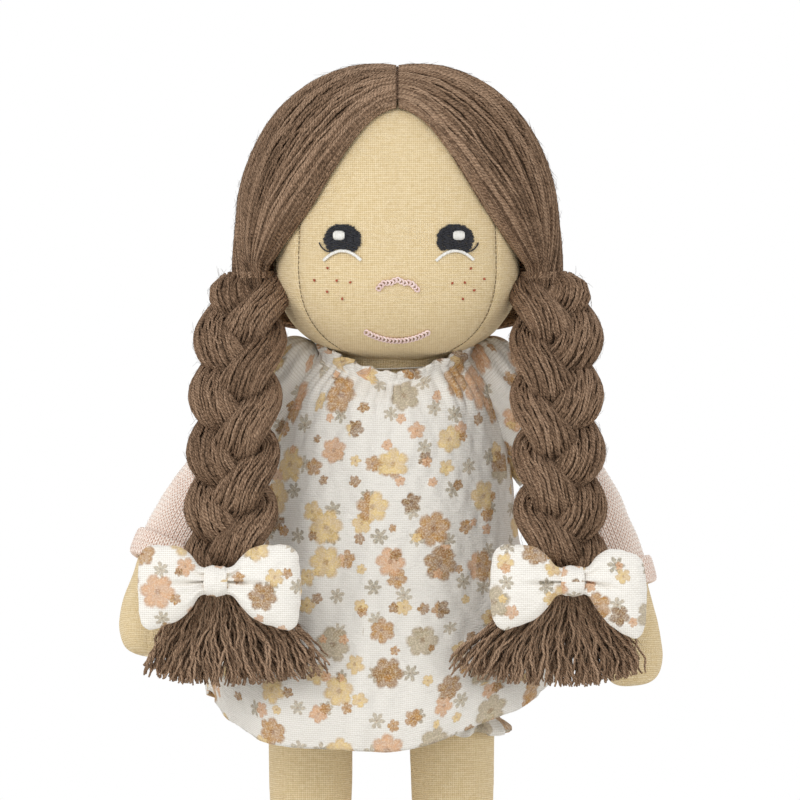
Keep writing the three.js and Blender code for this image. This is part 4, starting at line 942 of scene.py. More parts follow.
spots = np.array(FRECKLES) * MM
knot_turn = np.arange(len(spots)) * KNOT_TURN
knot_way = np.stack([np.cos(knot_turn), np.sin(knot_turn)], -1) * KNOT_HALF_LENGTH
crossed = np.stack([-knot_way[:, 1], knot_way[:, 0]], -1) * 0.7
starts = np.concatenate([spots - knot_way, spots - crossed])
ends = np.concatenate([spots + knot_way, spots + crossed])
freckles = face_stitches("freckle_knots", starts, ends, rust_thread, radius=0.36 * MM, lift=0.15 * MM)
settle(freckles, "head", "eye_thread")

# %% Seam stitches of the head
SEAM_LOW, SEAM_HIGH = math.radians(-62), math.radians(50)
SEAM_PITCH, SEAM_DASH, SEAM_THREAD = 1.9 * MM, 1.45 * MM, 0.14 * MM


def seam_dashes(degrees):
    """Short threads along a head seam, sunk in its groove."""
    turn = math.radians(degrees)
    rise = np.linspace(SEAM_LOW, SEAM_HIGH, 400)
    way = np.stack([math.sin(turn) * np.cos(rise), -math.cos(turn) * np.cos(rise), np.sin(rise)], -1)
    way = way * (head_reach(way) - 0.55 * MM)[:, None] + HEAD
    return dashes_along(way, SEAM_PITCH, SEAM_DASH, 4)


dashes = np.concatenate([seam_dashes(degrees) for degrees in SEAM_DEGREES])
head_seams = yarns("head_seam_stitches", dashes, SEAM_THREAD, seam_thread, sides=5)
settle(head_seams, "head", "seam_thread")

# %% [markdown]
# The wig is plied wool laid strand by strand from the stitched parting over the head to the tie at each
# side, where all of it is gathered. A strand's way is a curve between three directions, pushed out to the
# thickness of the hair. An upper and a lower layer of strands over a padding leave no bald gaps.

# %% Ways of the strands
PARTING_FRONT, PARTING_BACK = 27, -117
PARTING_HALF_WIDTH, PARTING_WIDENING = 0.5 * MM, 3 * MM
ARRIVAL_FRONT, ARRIVAL_BACK = -135, 120
WIG_SIDE, WIG_TOP, WIG_FRONT, WIG_BACK, WIG_EDGE = 16.6 * MM, 5.6 * MM, 5 * MM, 10 * MM, 3.4 * MM
WIG_SIZES = (
    HEAD_HALF_WIDTH + WIG_SIDE, FACE_DEPTH + WIG_FRONT, HEAD_BACK + WIG_BACK,
    HEAD_DROP + WIG_TOP, HEAD_RISE + WIG_TOP,
)
BUNDLE_RADIUS = 8.4 * MM
HAIR_YARN = 0.6 * MM
TIE_WAY = unit(np.array([TIE_OUT, TIE_BACK, -TIE_BELOW_WIDEST]))
HAIRLINE = np.array([(0, 59), (15.5, 59.5), (26, 28), (52, -8)]) * MM
HAIRLINE_PULL = np.array([0.38, -0.8, 0.38])


def bezier(points, t):
    """Points of a curve with four control points."""
    t = np.asarray(t)[..., None]
    a, b, c, d = points
    return a * (1 - t) ** 3 + 3 * b * t * (1 - t) ** 2 + 3 * c * t**2 * (1 - t) + d * t**3


def parting_way(angle):
    """Directions up from the middle of the head, over the parting."""
    return np.stack([0 * angle, -np.sin(angle), np.cos(angle)], -1)


def strand_direction(s, t):
    """Where a strand points from the middle of the head; s from forehead to nape, t from parting to tie."""
    s, t = np.broadcast_arrays(s, t)
    start = parting_way(np.radians(lerp(PARTING_FRONT, PARTING_BACK, s)))
    pull = lerp(HAIRLINE_PULL, unit(start + TIE_WAY), smooth(0, 0.25, s)[..., None])
    edge = bezier(HAIRLINE, t)
    hairline = unit(face_point(edge[..., 0], edge[..., 1]) - HEAD)
    t = t[..., None]
    free = unit(start * (1 - t) ** 2 + pull * 2 * t * (1 - t) + TIE_WAY * t**2)
    return unit(lerp(hairline, free, smooth(0, 0.3, s)[..., None]))


def wig_point(s, t, under, bundle):
    """A point of the wig, some way under its surface; bundle is its share of the radius in the tie."""
    direction = strand_direction(s, np.minimum(t, 0.97))
    surface = rounded_reach(direction, *WIG_SIZES)
    thin = head_reach(direction) + WIG_EDGE
    plump = smooth(0, 0.13, np.minimum(s, 1.15 - s)) * smooth(-0.1, 0.16, t)
    reach = lerp(np.minimum(thin, surface), surface, plump) - under
    point = direction * reach[..., None]
    point[..., 0] = np.maximum(point[..., 0], PARTING_HALF_WIDTH + PARTING_WIDENING * t)
    arrival = np.radians(lerp(ARRIVAL_FRONT, ARRIVAL_BACK, s))
    radius = BUNDLE_RADIUS * bundle
    drop = lerp(2.5 * MM, -8 * MM, smooth(0.88, 1, t))
    out, back = TIE_OUT + radius * np.cos(arrival), TIE_BACK + radius * np.sin(arrival)
    knot = stacked(out, back, drop - TIE_BELOW_WIDEST)
    return lerp(point, knot, smooth(0.68, 0.98, t)[..., None])


def on_side(points, name):
    """Points about the middle of the head, mirrored for the right side and put in place."""
    return points * np.array([SIDES[name], 1, 1]) + HEAD


# %% Wig
UPPER_STRANDS, LOWER_STRANDS, LOWER_UNDER = 245, 110, 0.9 * MM
STRAND_POINTS = 43
PADDING_UNDER, PADDING_THICKNESS = 2.2 * MM, 0.8 * MM


def wig_layer(name, count, under, seed):
    """Lines of one layer of strands, with small clumps and wanderings, and their radii."""
    rng = np.random.default_rng(seed)
    s = (np.arange(count) + 0.5 + rng.uniform(-0.22, 0.22, count)) / count
    s, t = s[:, None], np.linspace(0, 1, STRAND_POINTS)[None]
    clump = waves(seed + 7, s * 60) * 0.13 * MM + waves(seed + 9, s * 190, t * 4) * 0.15 * MM
    drift = waves(seed + 3, s * 45, t * 5) * 0.0042 + rng.normal(0, 0.0016, (count, 1)) * np.sin(math.pi * t)
    own = rng.uniform(0, 0.3 * MM, (count, 1)) * np.sin(math.pi * t) ** 0.5
    bundle = np.sqrt(rng.uniform(0.08, 1, (count, 1)))
    depth = under + HAIR_YARN - (clump - 0.3 * MM) * smooth(0, 0.12, t) * smooth(1, 0.8, t) + own
    wander = 0.0021 * waves(seed + 5, s * 900, t * 46) * smooth(0, 0.1, t)
    lines = wig_point(np.clip(s + drift * smooth(0, 0.1, t) + wander, 0, 1), t, depth, bundle)
    thick = HAIR_YARN * (1 - 0.35 * smooth(0.75, 1, t)) * (1 - 0.25 * smooth(0.06, 0, t))
    return on_side(lines, name), np.broadcast_to(thick, lines.shape[:2])


wool_lines = {}
for name, side in SIDES.items():
    upper, upper_radius = wig_layer(name, UPPER_STRANDS, 0.0, 21 + side)
    lower, lower_radius = wig_layer(name, LOWER_STRANDS, LOWER_UNDER, 41 + side)
    wool_lines[name] = upper
    lines = np.concatenate([upper, lower])
    radii = np.concatenate([upper_radius, lower_radius])
    tones = np.random.default_rng(60 + side).uniform(0.15, 1.15, (len(lines), 1))
    # painted shade: each wig strand grows darker from the parting down towards its tie
    tones = tones - 0.3 * smooth(0.12, 0.6, np.linspace(0, 1, STRAND_POINTS))
    wig = yarns(f"wig_yarns_{name}", lines, radii, wool_finish, sides=5, seed=60 + side, shade=tones)
    settle(wig, "head", "wool_hair", f"hair_{name}")
    s, t = np.linspace(0.004, 0.996, 60)[:, None], np.linspace(0, 0.93, 40)[None]
    padding = on_side(wig_point(s, t, PADDING_UNDER, 0.5), name)
    pad = grid_piece(f"wig_padding_{name}", padding, wool_finish, stacked(t * 0.1, s * 0.2), outward=side)
    give_thickness(pad, PADDING_THICKNESS)
    settle(pad, "head", "wool_hair")

# %% Parting and hair ties
HAIR_TIE_RADIUS = 7.4 * MM
WRAP_HEIGHT, WRAP_TURNS, WRAP_YARN = 2.6 * MM, 3.2, 0.62 * MM
PARTING_PITCH, PARTING_DASH, PARTING_THREAD, PARTING_SUNK = 2.6 * MM, 2.1 * MM, 0.38 * MM, 2.4 * MM


def ring_wraps(name, centre, radius, seed=1):
    """A yarn wound round an upright bundle."""
    turn = np.linspace(0, 2 * math.pi * WRAP_TURNS, int(40 * WRAP_TURNS))
    rise = np.linspace(-WRAP_HEIGHT / 2, WRAP_HEIGHT / 2, len(turn))
    spots = np.stack([radius * np.cos(turn), radius * np.sin(turn), rise], -1) + centre
    return yarns(name, spots[None], WRAP_YARN, wool_finish, seed=seed)


way = parting_way(np.radians(np.linspace(PARTING_FRONT - 1, PARTING_BACK + 3, 600)))
way = way * (rounded_reach(way, *WIG_SIZES) - PARTING_SUNK)[:, None] + HEAD
dashes = dashes_along(way, PARTING_PITCH, PARTING_DASH, 5)
dark_wool = wool("dark_wool", "#7d6351", "#614b3b", "#403126")
parting = yarns("parting_stitches", dashes, PARTING_THREAD, dark_wool)
settle(parting, "head", "seam_thread", "parting_seam")
for name in SIDES:
    tie = ring_wraps(f"hair_tie_yarn_{name}", tie_middle[name], HAIR_TIE_RADIUS)
    settle(tie, "head", "wool_hair", f"hair_tie_{name}")

# %% [markdown]
# Each braid is three locks of about sixty yarns. The middle of a lock swings from side to side while it
# goes in front of and behind the others, a third of a turn after the lock before it, which is all that
# braiding is. Its yarns lie round a flattened section that turns with it, so the crossings close up.

# %% Braids
BRAID_TURN = math.radians(22)
CROSSING_LENGTH = 64 * MM
BRAID_LENGTH = 112 * MM
BRAID_OUT, BRAID_FORWARD = {"left": 12.2 * MM, "right": 14.4 * MM}, 38 * MM
BRAID_TOP_OUT = {"left": 2.6 * MM, "right": 0.4 * MM}
BRAID_OUT_SHAPE = [(0, 0.03), (0.09, 0.22), (0.28, 0.42), (0.5, 0.5), (0.85, 0.62), (1, 0.86)]
BRAID_FORWARD_SHAPE = [(0, 0), (0.2, 0.38), (0.42, 0.78), (0.65, 0.94), (1, 1)]
SWING, SWING_DEPTH = 9.4 * MM, 6.3 * MM
LOCK_HALF_WIDTH, LOCK_HALF_DEPTH = 8.6 * MM, 6.1 * MM
BRAID_YARN = 0.52 * MM
LOCK_YARNS = 62
LOCK_STATIONS = np.linspace(-0.02, 1.02, 76)
TIE_HEIGHT = 3.4 * MM
BRAID_TOP_BELOW = TIE_HEIGHT / 2 + 1.5 * MM


def braid_middle(share, name):
    """The middle of a braid at a share of its length, from the hair tie to its own tie."""
    out = BRAID_OUT[name] * along(BRAID_OUT_SHAPE, share)
    out = out + BRAID_TOP_OUT[name] * smooth(-0.02, 0.04, share) * smooth(0.32, 0.1, share)
    forward = BRAID_FORWARD * along(BRAID_FORWARD_SHAPE, share)
    spot = np.stack([SIDES[name] * out, -forward, -BRAID_TOP_BELOW - BRAID_LENGTH * share], -1)
    return spot + tie_middle[name]


def braid_fullness(share):
    """How full the braid is: drawn in at the hair tie and at its own tie."""
    top = lerp(0.7, 1.0, along([(0, 0.1), (0.02, 0.7), (0.05, 0.95), (0.1, 1)], share))
    end = lerp(1.0, 0.54, along([(0.8, 0), (0.9, 0.05), (0.95, 0.32), (1, 1)], share))
    return np.minimum(top, end)


def lock_middle(share, number, name):
    turn = 2 * math.pi * (share * BRAID_LENGTH / CROSSING_LENGTH + number / 3)
    full = braid_fullness(share)
    sideways, deep = SWING * full * np.sin(turn), SWING_DEPTH * full * np.sin(2 * turn)
    x = sideways * math.cos(BRAID_TURN) - deep * math.sin(BRAID_TURN)
    y = sideways * math.sin(BRAID_TURN) + deep * math.cos(BRAID_TURN)
    return braid_middle(share, name) + np.stack([SIDES[name] * x, y, 0 * x], -1)


def braid_lock(name, number):
    share = LOCK_STATIONS
    middle = lock_middle(share, number, name)
    ahead = unit(np.gradient(middle, axis=0))
    flat = np.array([SIDES[name] * math.cos(BRAID_TURN), math.sin(BRAID_TURN), 0])
    across = unit(flat - (ahead @ flat)[:, None] * ahead)
    front = np.cross(ahead, across)
    full = braid_fullness(share)
    rng = np.random.default_rng(100 + 10 * number + SIDES[name])
    k = np.arange(LOCK_YARNS)
    turn = 2 * math.pi * k / LOCK_YARNS + 0.5 * math.pi * share[:, None]
    turn = turn + rng.uniform(-0.06, 0.06, LOCK_YARNS)
    turn = turn + 0.11 * waves(number + 5, share[:, None] * 34, k * 1.7)
    wobble = 1 + 0.014 * waves(number + 9, share[:, None] * 44, k * 2.3)
    wide = (LOCK_HALF_WIDTH * full - BRAID_YARN)[:, None] * wobble
    deep = (LOCK_HALF_DEPTH * full - BRAID_YARN)[:, None] * wobble
    lines = middle[:, None] + (wide * np.cos(turn))[..., None] * across[:, None]
    lines = lines + (deep * np.sin(turn))[..., None] * front[:, None]
    radii = BRAID_YARN * (0.75 + 0.25 * full)[:, None] * rng.uniform(0.94, 1.08, LOCK_YARNS)
    cores = [middle + (off * LOCK_HALF_WIDTH * full)[:, None] * across for off in (-0.4, 0, 0.4)]
    core_radius = np.stack([(size * LOCK_HALF_DEPTH - BRAID_YARN) * full for size in (0.8, 0.96, 0.8)])
    lines = np.concatenate([lines.transpose(1, 0, 2), cores])
    wool_lines[f"{name}_{number + 1}"] = lines[:LOCK_YARNS]
    radii = np.concatenate([radii.T, core_radius])
    tones = rng.uniform(-0.1, 0.8, len(lines))
    title = f"{name}_{number + 1}"
    piece = yarns(f"braid_yarns_{title}", lines, radii, wool_finish, seed=200 + number, sides=5, shade=tones)
    settle(piece, f"braid_{name}", "wool_hair", f"braid_lock_{title}")


for name in SIDES:
    for number in range(3):
        braid_lock(name, number)

# %% [markdown]
# Below its tie each braid ends in loose yarn that fans out in a skirt. The yarns start inside the tie, fall,
# and spread, each to its own place in a flat oval, with waves left by the braiding and ends cut by hand.

# %% Tassels and braid ties
TASSEL_YARNS = 390
TASSEL_LENGTH, TASSEL_OUTER, TASSEL_HALF_DEPTH = 41 * MM, 29 * MM, 8.5 * MM
TASSEL_INNER = {"left": 47 * MM, "right": 42 * MM}
TASSEL_TOP_HALF_WIDTH, TASSEL_FORWARD = 6.8 * MM, 7 * MM
TASSEL_SHORTER_EDGE, TASSEL_RAGGED = 5 * MM, 8 * MM
TASSEL_YARN = 0.5 * MM
BRAID_TIE_RADIUS = 9 * MM


def tassel(name):
    end = braid_middle(np.array(1.0), name)
    rng = np.random.default_rng(300 + SIDES[name])
    number = np.arange(TASSEL_YARNS)
    spread = np.sqrt((number + 0.5) / TASSEL_YARNS)
    turn = number * math.pi * (3 - math.sqrt(5))
    x, y = spread * np.cos(turn), spread * np.sin(turn)
    x = np.sign(x) * np.abs(x) ** 0.9
    down = np.linspace(-0.08, 1, 29)[None]
    wide = along([(0, 0), (0.12, 0.1), (0.45, 0.52), (0.8, 0.88), (1, 1)], down)
    far = np.where(x > 0, TASSEL_OUTER, TASSEL_INNER[name])[:, None]
    sideways = SIDES[name] * x[:, None] * lerp(TASSEL_TOP_HALF_WIDTH, far, wide)
    deep = y[:, None] * (TASSEL_HALF_DEPTH - TASSEL_YARN) * lerp(0.85, 1, wide)
    deep = deep - TASSEL_FORWARD * np.maximum(-x, 0)[:, None] ** 1.5 * wide
    sideways = sideways + 1.6 * MM * wide * waves(33, x[:, None] * 9, y[:, None] * 4)
    ragged = rng.uniform(0, 1, TASSEL_YARNS) ** 2 * TASSEL_RAGGED
    length = (TASSEL_LENGTH - TASSEL_SHORTER_EDGE * x**2 - ragged)[:, None]
    own = rng.uniform(0, 2 * math.pi, (TASSEL_YARNS, 4))
    speed = rng.uniform(0.6, 1.3, (TASSEL_YARNS, 4))
    wave, crimp = 1.8 * MM * smooth(0.1, 0.7, down), 0.28 * MM * smooth(0.02, 0.2, down)
    for place, k in ((sideways, 0), (deep, 1)):
        place += wave * np.sin(down * 8 * speed[:, k : k + 1] + own[:, k : k + 1])
        place += crimp * np.sin(down * 42 * speed[:, k + 2 : k + 3] + own[:, k + 2 : k + 3])
    lines = np.stack([sideways, deep, -length * down], -1) + end
    radii = TASSEL_YARN * rng.uniform(0.85, 1.1, (TASSEL_YARNS, 1)) * (1 - 0.3 * smooth(0.9, 1, down))
    tones = rng.uniform(0.3, 1.3, TASSEL_YARNS)
    wool_lines[f"tassel_{name}"] = lines
    piece = yarns(f"tassel_yarns_{name}", lines, radii, wool_finish, sides=5, seed=310, shade=tones)
    settle(piece, f"braid_{name}", "wool_hair", f"tassel_{name}")
    knot = end + np.array([0, 0, TIE_HEIGHT / 2])
    wraps = ring_wraps(f"braid_tie_yarn_{name}", knot, BRAID_TIE_RADIUS, seed=5)
    settle(wraps, f"braid_{name}", "wool_hair", f"braid_tie_{name}")


for name in SIDES:
    tassel(name)

# %% [markdown]
# Wool is never smooth: single fibres stand off the yarns and catch the light round the outline of the hair.
# They are very thin tubes that start on a yarn, lean away from the middle of the head or braid, and curl.

# %% Loose fibres
FIBRE_COUNT = 2600
FIBRE_RADIUS, FIBRE_LIFT = 0.06 * MM, 0.575 * MM
FIBRE_SHORTEST, FIBRE_LONGEST = 2 * MM, 6 * MM


def loose_fibres(name, body, lines, middle, seed):
    """Fibres that start on the yarns, mostly lie along them, and now and then stand off."""
    rng = np.random.default_rng(seed)
    spots = lines.reshape(-1, 3)
    ahead = unit(np.gradient(lines, axis=1)).reshape(-1, 3)
    middle = np.broadcast_to(middle, lines.shape).reshape(-1, 3)
    picked = rng.integers(0, len(spots), FIBRE_COUNT)
    one_each = (FIBRE_COUNT, 1)
    start, along_yarn = spots[picked], ahead[picked] * rng.choice([-1.0, 1.0], one_each)
    away = unit(start - middle[picked])
    away = unit(away - (away * along_yarn).sum(-1, keepdims=True) * along_yarn)
    aside = np.cross(away, along_yarn) * rng.normal(0, 0.45, one_each)
    reach = rng.uniform(FIBRE_SHORTEST, FIBRE_LONGEST, one_each)
    rise = rng.uniform(0, 1, one_each) ** 8
    t = np.linspace(0, 1, 4)[None, :, None]
    lift = FIBRE_LIFT * np.sin(math.pi * np.clip(t * 1.4, 0, 0.5))
    lift = lift + reach[:, None] * rise[:, None] * 0.35 * t**1.5
    sideways = aside[:, None] * (t + 0.25 * np.sin(5 * t))
    fibres = start[:, None] + reach[:, None] * (t * along_yarn[:, None] + sideways) + lift * away[:, None]
    radii = FIBRE_RADIUS * np.array([1, 1, 0.85, 0.4])[None] * rng.uniform(0.7, 1.2, one_each)
    tones = rng.uniform(-0.1, 1.2, FIBRE_COUNT)
    settle(yarns(name, fibres, radii, wool_finish, sides=3, seed=seed, shade=tones), body, "wool_hair")


for name, side in SIDES.items():
    loose_fibres(f"wig_fibres_{name}", "head", wool_lines[name][:, 3:], HEAD, 400 + side)
    braid = np.concatenate([wool_lines[f"{name}_{number}"] for number in (1, 2, 3)])
    middle = braid_middle(LOCK_STATIONS, name)
    loose_fibres(f"braid_fibres_{name}", f"braid_{name}", braid, middle, 410 + side)
    fan = wool_lines[f"tassel_{name}"][:, 3:-5]
    loose_fibres(f"tassel_fibres_{name}", f"braid_{name}", fan, fan.mean(axis=0), 420 + side)

# %% [markdown]
# A bow is two pillows of printed gauze, pinched in the middle by a band. Each wing is a closed bag: a front
# and a back that meet in a thin outer seam, full between knot and seam, with a crease that starts at the
# knot and fine gathers that spread from it.

# %% Bows
BOW_HALF_HEIGHT, BOW_HALF_DEPTH = 16.2 * MM, 5.6 * MM
BOW_START = 2.6 * MM
KNOT_HALF_WIDTH, KNOT_RADIUS = 4.3 * MM, 5.6 * MM
BOW_SHIFT = {"left": -3.0 * MM, "right": 0.6 * MM}
BOW_REACH = {"left": (28, 31.5), "right": (29.5, 32.5)}
BOW_DROOP = {"left": (6.4, 2.6), "right": (2.8, 2.8)}
BOW_HEIGHTS = [
    (0, 0.3), (0.14, 0.36), (0.25, 0.6), (0.36, 0.78), (0.5, 0.9), (0.75, 0.98), (0.92, 1), (1, 0.93),
]
BOW_DEPTHS = [(0, 0.62), (0.25, 0.98), (0.6, 1.08), (0.85, 0.85), (0.95, 0.5), (1, 0.12)]


def bow_wing(side, seed, reach, droop):
    """Rings of points from the knot to the outer seam, and their places on the cloth."""
    out = np.linspace(0, 1, 56)[:, None]
    a = np.linspace(-1, 1, 50)[None]
    high = BOW_HALF_HEIGHT * along(BOW_HEIGHTS, out)
    full = BOW_HALF_DEPTH * along(BOW_DEPTHS, out) * (1 - np.abs(a) ** 2.6) ** 0.55
    bulge = 1 - 0.04 * a**2 - 0.06 * np.abs(a) ** 9 * smooth(0.5, 1, out) + 0.01 * waves(seed, a * 4)
    x = BOW_START + (reach - BOW_START) * out * bulge
    z = a * high * (1 + 0.02 * waves(seed + 1, out * 5)) - droop * smooth(0.05, 1.1, out)
    gather = 0.6 * MM * (1 - out) ** 2.2 * np.cos(a * 8.5 + waves(seed + 2, a * 3)) * (1 - a**6)
    crease = 3.4 * MM * bell(a + 0.05 - 0.12 * out, 0.075) * smooth(0.72, 0.2, out)
    crease = crease + 1.2 * MM * bell(a - 0.5 + 0.1 * out, 0.12) * smooth(0.6, 0.1, out)
    soft = 0.45 * MM * waves(seed + 3, out * 5, a * 3) * (1 - out**4) * (1 - a**4)
    seam = 0.25 * MM
    front = np.minimum(-(full + gather - crease + soft), -seam)
    back = np.maximum(full + gather * 0.8 - crease * 0.8 - soft, seam)
    rings = np.concatenate([np.stack([x, front, z], -1), np.stack([x, back, z], -1)[:, ::-1]], 1)
    rings[..., 0] *= side
    u = np.concatenate([x, x[:, ::-1] + 60 * MM], 1) * side
    v = np.concatenate([z, z[:, ::-1]], 1)
    uv = np.stack([u + seed * 23 * MM, v + seed * 11 * MM], -1)
    return rings, np.concatenate([uv, uv[:, :1]], 1)


def joined(name, pieces):
    """One object from several, keeping the first one's place."""
    bpy.ops.object.select_all(action="DESELECT")
    for piece in pieces:
        piece.select_set(True)
    bpy.context.view_layer.objects.active = pieces[0]
    bpy.ops.object.join()
    pieces[0].name = name
    return pieces[0]


def bow_knot(name, middle):
    """The band round the middle of a bow, with soft pleats."""
    x = np.linspace(-1, 1, 40)[:, None]
    turn = np.linspace(0, 2 * math.pi, 73)[None]
    around = turn[:, :-1]
    pleats = 0.12 * MM * np.cos(x * 5 + 0.8 * np.sin(around)) * (1 - x**4)
    radius = (KNOT_RADIUS - 1.1 * MM) + 1.3 * MM * (1 - np.abs(x) ** 5) ** 0.5 + pleats
    radius = radius + 0.16 * MM * waves(8, around, x * 3)
    across = x * KNOT_HALF_WIDTH * (1 + 0.06 * np.cos(2 * around))
    spots = stacked(across, -radius * np.cos(around), radius * np.sin(around)) + middle
    uv = stacked(x * KNOT_HALF_WIDTH + 31 * MM * SIDES[name], turn * KNOT_RADIUS)
    return grid_piece(f"bow_wrap_{name}", spots, bow_finish, uv, closed=True, caps=True, outward=-1)


def bow(name):
    middle = middle_of(f"bow_{name}") + np.array([BOW_SHIFT[name], 0, 0])
    wings = []
    for side in (1, -1):
        inner = int(side != SIDES[name])
        reach, droop = BOW_REACH[name][inner] * MM, BOW_DROOP[name][inner] * MM
        rings, uv = bow_wing(side, 15 + side + 4 * SIDES[name], reach, droop)
        wing = grid_piece("wing", rings + middle, bow_finish, uv, closed=True, caps=True, outward=-side)
        wings.append(wing)
    wings = joined(f"bow_gauze_{name}", wings)
    settle(wings, f"braid_{name}", "printed_gauze", f"bow_{name}")
    wrap = bow_knot(name, middle)
    settle(wrap, f"braid_{name}", "printed_gauze", f"bow_knot_{name}")


for name in SIDES:
    bow(name)

# %% [markdown]
# Arms and legs are tubes of linen stuffed tight. An arm is a row of rings along a soft curve from the
# shoulder, narrower at the wrist, and rounded off as a mitten. Low waves in the radius keep the stuffing
# from looking machined.

# %% Arms
ARM_RADIUS = 12.6 * MM
ARM_REACH = {"left": (52, 9, 113), "right": (54, 14, 101)}
ARM_OUT_POWER = {"left": 0.85, "right": 1.0}
ARM_BEND = np.array([(0, 0, 0), (0.4, 0.1, 0.26), (0.74, 0.3, 0.52), (0.95, 0.65, 0.79), (1, 1, 1)])
ARM_SHAPE = [(0, 1), (0.5, 0.96), (0.75, 0.88), (0.9, 0.96), (1, 0.98)]
HAND_ROUND = 12 * MM
ARM_COLUMNS = 96
ARM_SEAM_DEPTH, ARM_SEAM_WIDTH = 0.5 * MM, 0.09


def arm_line(name):
    """Points along the middle of an arm and their distance from the shoulder."""
    out, forward, down = np.array(ARM_REACH[name]) * MM
    bend = ARM_BEND * np.array([SIDES[name] * out, -forward, -down])
    bend[:, 0] = SIDES[name] * out * ARM_BEND[:, 0] ** ARM_OUT_POWER[name]
    way = way_along(bend)
    fine = np.linspace(0, way[-1], 400)
    line = np.stack([along(list(zip(way, bend[:, k])), fine) for k in range(3)], -1)
    line = line + joint_at[f"arm_{name}_raise"]
    return line, way_along(line)


arm_lines = {name: arm_line(name) for name in SIDES}


def arm_rings(name, stations, radii, columns):
    """Rings round the arm at distances from the shoulder, which may lie before it; radii may vary round."""
    line, length = arm_lines[name]
    held = np.clip(stations, 0, length[-1])
    middle = at_stations(held, length, line)
    tangent = unit(np.gradient(line, axis=0))
    ahead = unit(at_stations(held, length, tangent))
    middle = middle + (stations - held)[:, None] * ahead
    across = unit(np.array([0.0, 1.0, 0.0]) - ahead[:, 1:2] * ahead)
    up = np.cross(ahead, across)
    turn = full_turn(columns)
    ring = np.cos(turn)[None, :, None] * across[:, None] + np.sin(turn)[None, :, None] * up[:, None]
    return middle[:, None] + np.broadcast_to(radii, (len(stations), columns))[..., None] * ring


def cloth_uv(stations, columns, width):
    """Places on the cloth for rings: round the piece and along it, in metres."""
    round_way = np.linspace(0, width, columns + 1)[None]
    return stacked(round_way, np.asarray(stations)[:, None])


def arm_linen(name):
    length = arm_lines[name][1][-1]
    cap = np.radians(np.linspace(4, 84, 14))
    body = np.linspace(0, length - HAND_ROUND, 84)
    hand = np.radians(np.linspace(3, 88, 26))
    tip = length - HAND_ROUND + HAND_ROUND * np.sin(hand)
    stations = np.concatenate([-ARM_RADIUS * np.cos(cap), body, tip])
    wrist = ARM_RADIUS * along(ARM_SHAPE, (length - HAND_ROUND) / length)
    limb = ARM_RADIUS * along(ARM_SHAPE, body / length)
    radii = np.concatenate([ARM_RADIUS * np.sin(cap), limb, wrist * np.cos(hand) ** 0.62])[:, None]
    turn = full_turn(ARM_COLUMNS)[None]
    places = (stations[:, None] / (9 * MM), np.sin(turn) * 1.5, np.cos(turn) * 1.5)
    stuffed = 0.35 * MM * waves(17 + SIDES[name], *places)
    seam = ARM_SEAM_DEPTH * bell(turn - math.pi, ARM_SEAM_WIDTH)
    radii = radii * (1 + 0.0 * turn) + (stuffed - seam) * np.minimum(radii / ARM_RADIUS, 1)
    rings = arm_rings(name, stations, radii, ARM_COLUMNS)
    uv = cloth_uv(stations, ARM_COLUMNS, 2 * math.pi * ARM_RADIUS)
    arm = grid_piece(f"arm_linen_{name}", rings, linen_finish, uv, closed=True, caps=True)
    return settle(arm, f"arm_{name}", "skin_linen", f"arm_skin_{name}", f"arm_stuffing_{name}")


arms = {name: arm_linen(name) for name in SIDES}

# %% [markdown]
# The pullover is fine stockinette: columns of V-shaped stitches. On the sleeves every stitch is really
# raised in the mesh, with about fifty columns round the arm; the body of the pullover, which the dress
# hides, has the same stitches as bump only.

# %% Knitted wool
WALE, COURSE = 1.95 * MM, 1.65 * MM
KNIT_RELIEF = 0.8 * MM


def stockinette(u, v):
    """Height of a knitted face from 0 to 1 at places in metres."""
    across = u / WALE - np.floor(u / WALE) - 0.5
    legs = np.abs(np.sin(2 * math.pi * across)) ** 0.7
    legs = np.maximum(legs, 0.5 - 2 * np.abs(across))
    rows = 0.5 + 0.5 * np.cos(2 * math.pi * (v / COURSE + 1.5 * np.abs(across)))
    return legs * (0.62 + 0.38 * rows**0.8)


def knit(name, raised=True):
    cloth = Finish(name, 0.92, sheen=0.2, specular=0.12)
    x, y, _ = cloth.parts(cloth.uv())
    across = cloth.minus(cloth.math("FRACT", cloth.times(x, 1 / WALE)), 0.5)
    out = cloth.without_sign(across)
    legs = cloth.without_sign(cloth.sine(cloth.times(out, 2 * math.pi)))
    legs = cloth.math("MAXIMUM", legs, cloth.minus(0.5, cloth.times(out, 2.0)))
    phase = cloth.times_plus(out, 1.5, cloth.times(y, 1 / COURSE))
    rows = cloth.math("COSINE", cloth.times(phase, 2 * math.pi))
    height = cloth.times(legs, cloth.times_plus(rows, 0.3, 0.7))
    fibres = cloth.noise(cloth.object_place(), 2400, 3.0)
    soft = cloth.noise(cloth.object_place(), 90, 2.0)
    # painted shade: the hollows between the stitches are darkened
    colour = cloth.mix(cloth.step(height, 0.16, 0.6), "#bd8b71", "#fff4ea")
    colour = cloth.mix(cloth.times(cloth.step(fibres, 0.45, 0.75), 0.5), colour, "#fff6ee")
    colour = cloth.mix(cloth.times(cloth.step(soft, 0.5, 0.8), 0.2), colour, "#f3d2bf")
    height = cloth.times_plus(fibres, 0.5, cloth.times(height, 0.35 if raised else 1.0))
    return cloth.finish(colour, height, 0.3 * MM if raised else 0.5 * MM)


knit_finish = knit("pink_knit")
flat_knit_finish = knit("pink_knit_flat", raised=False)


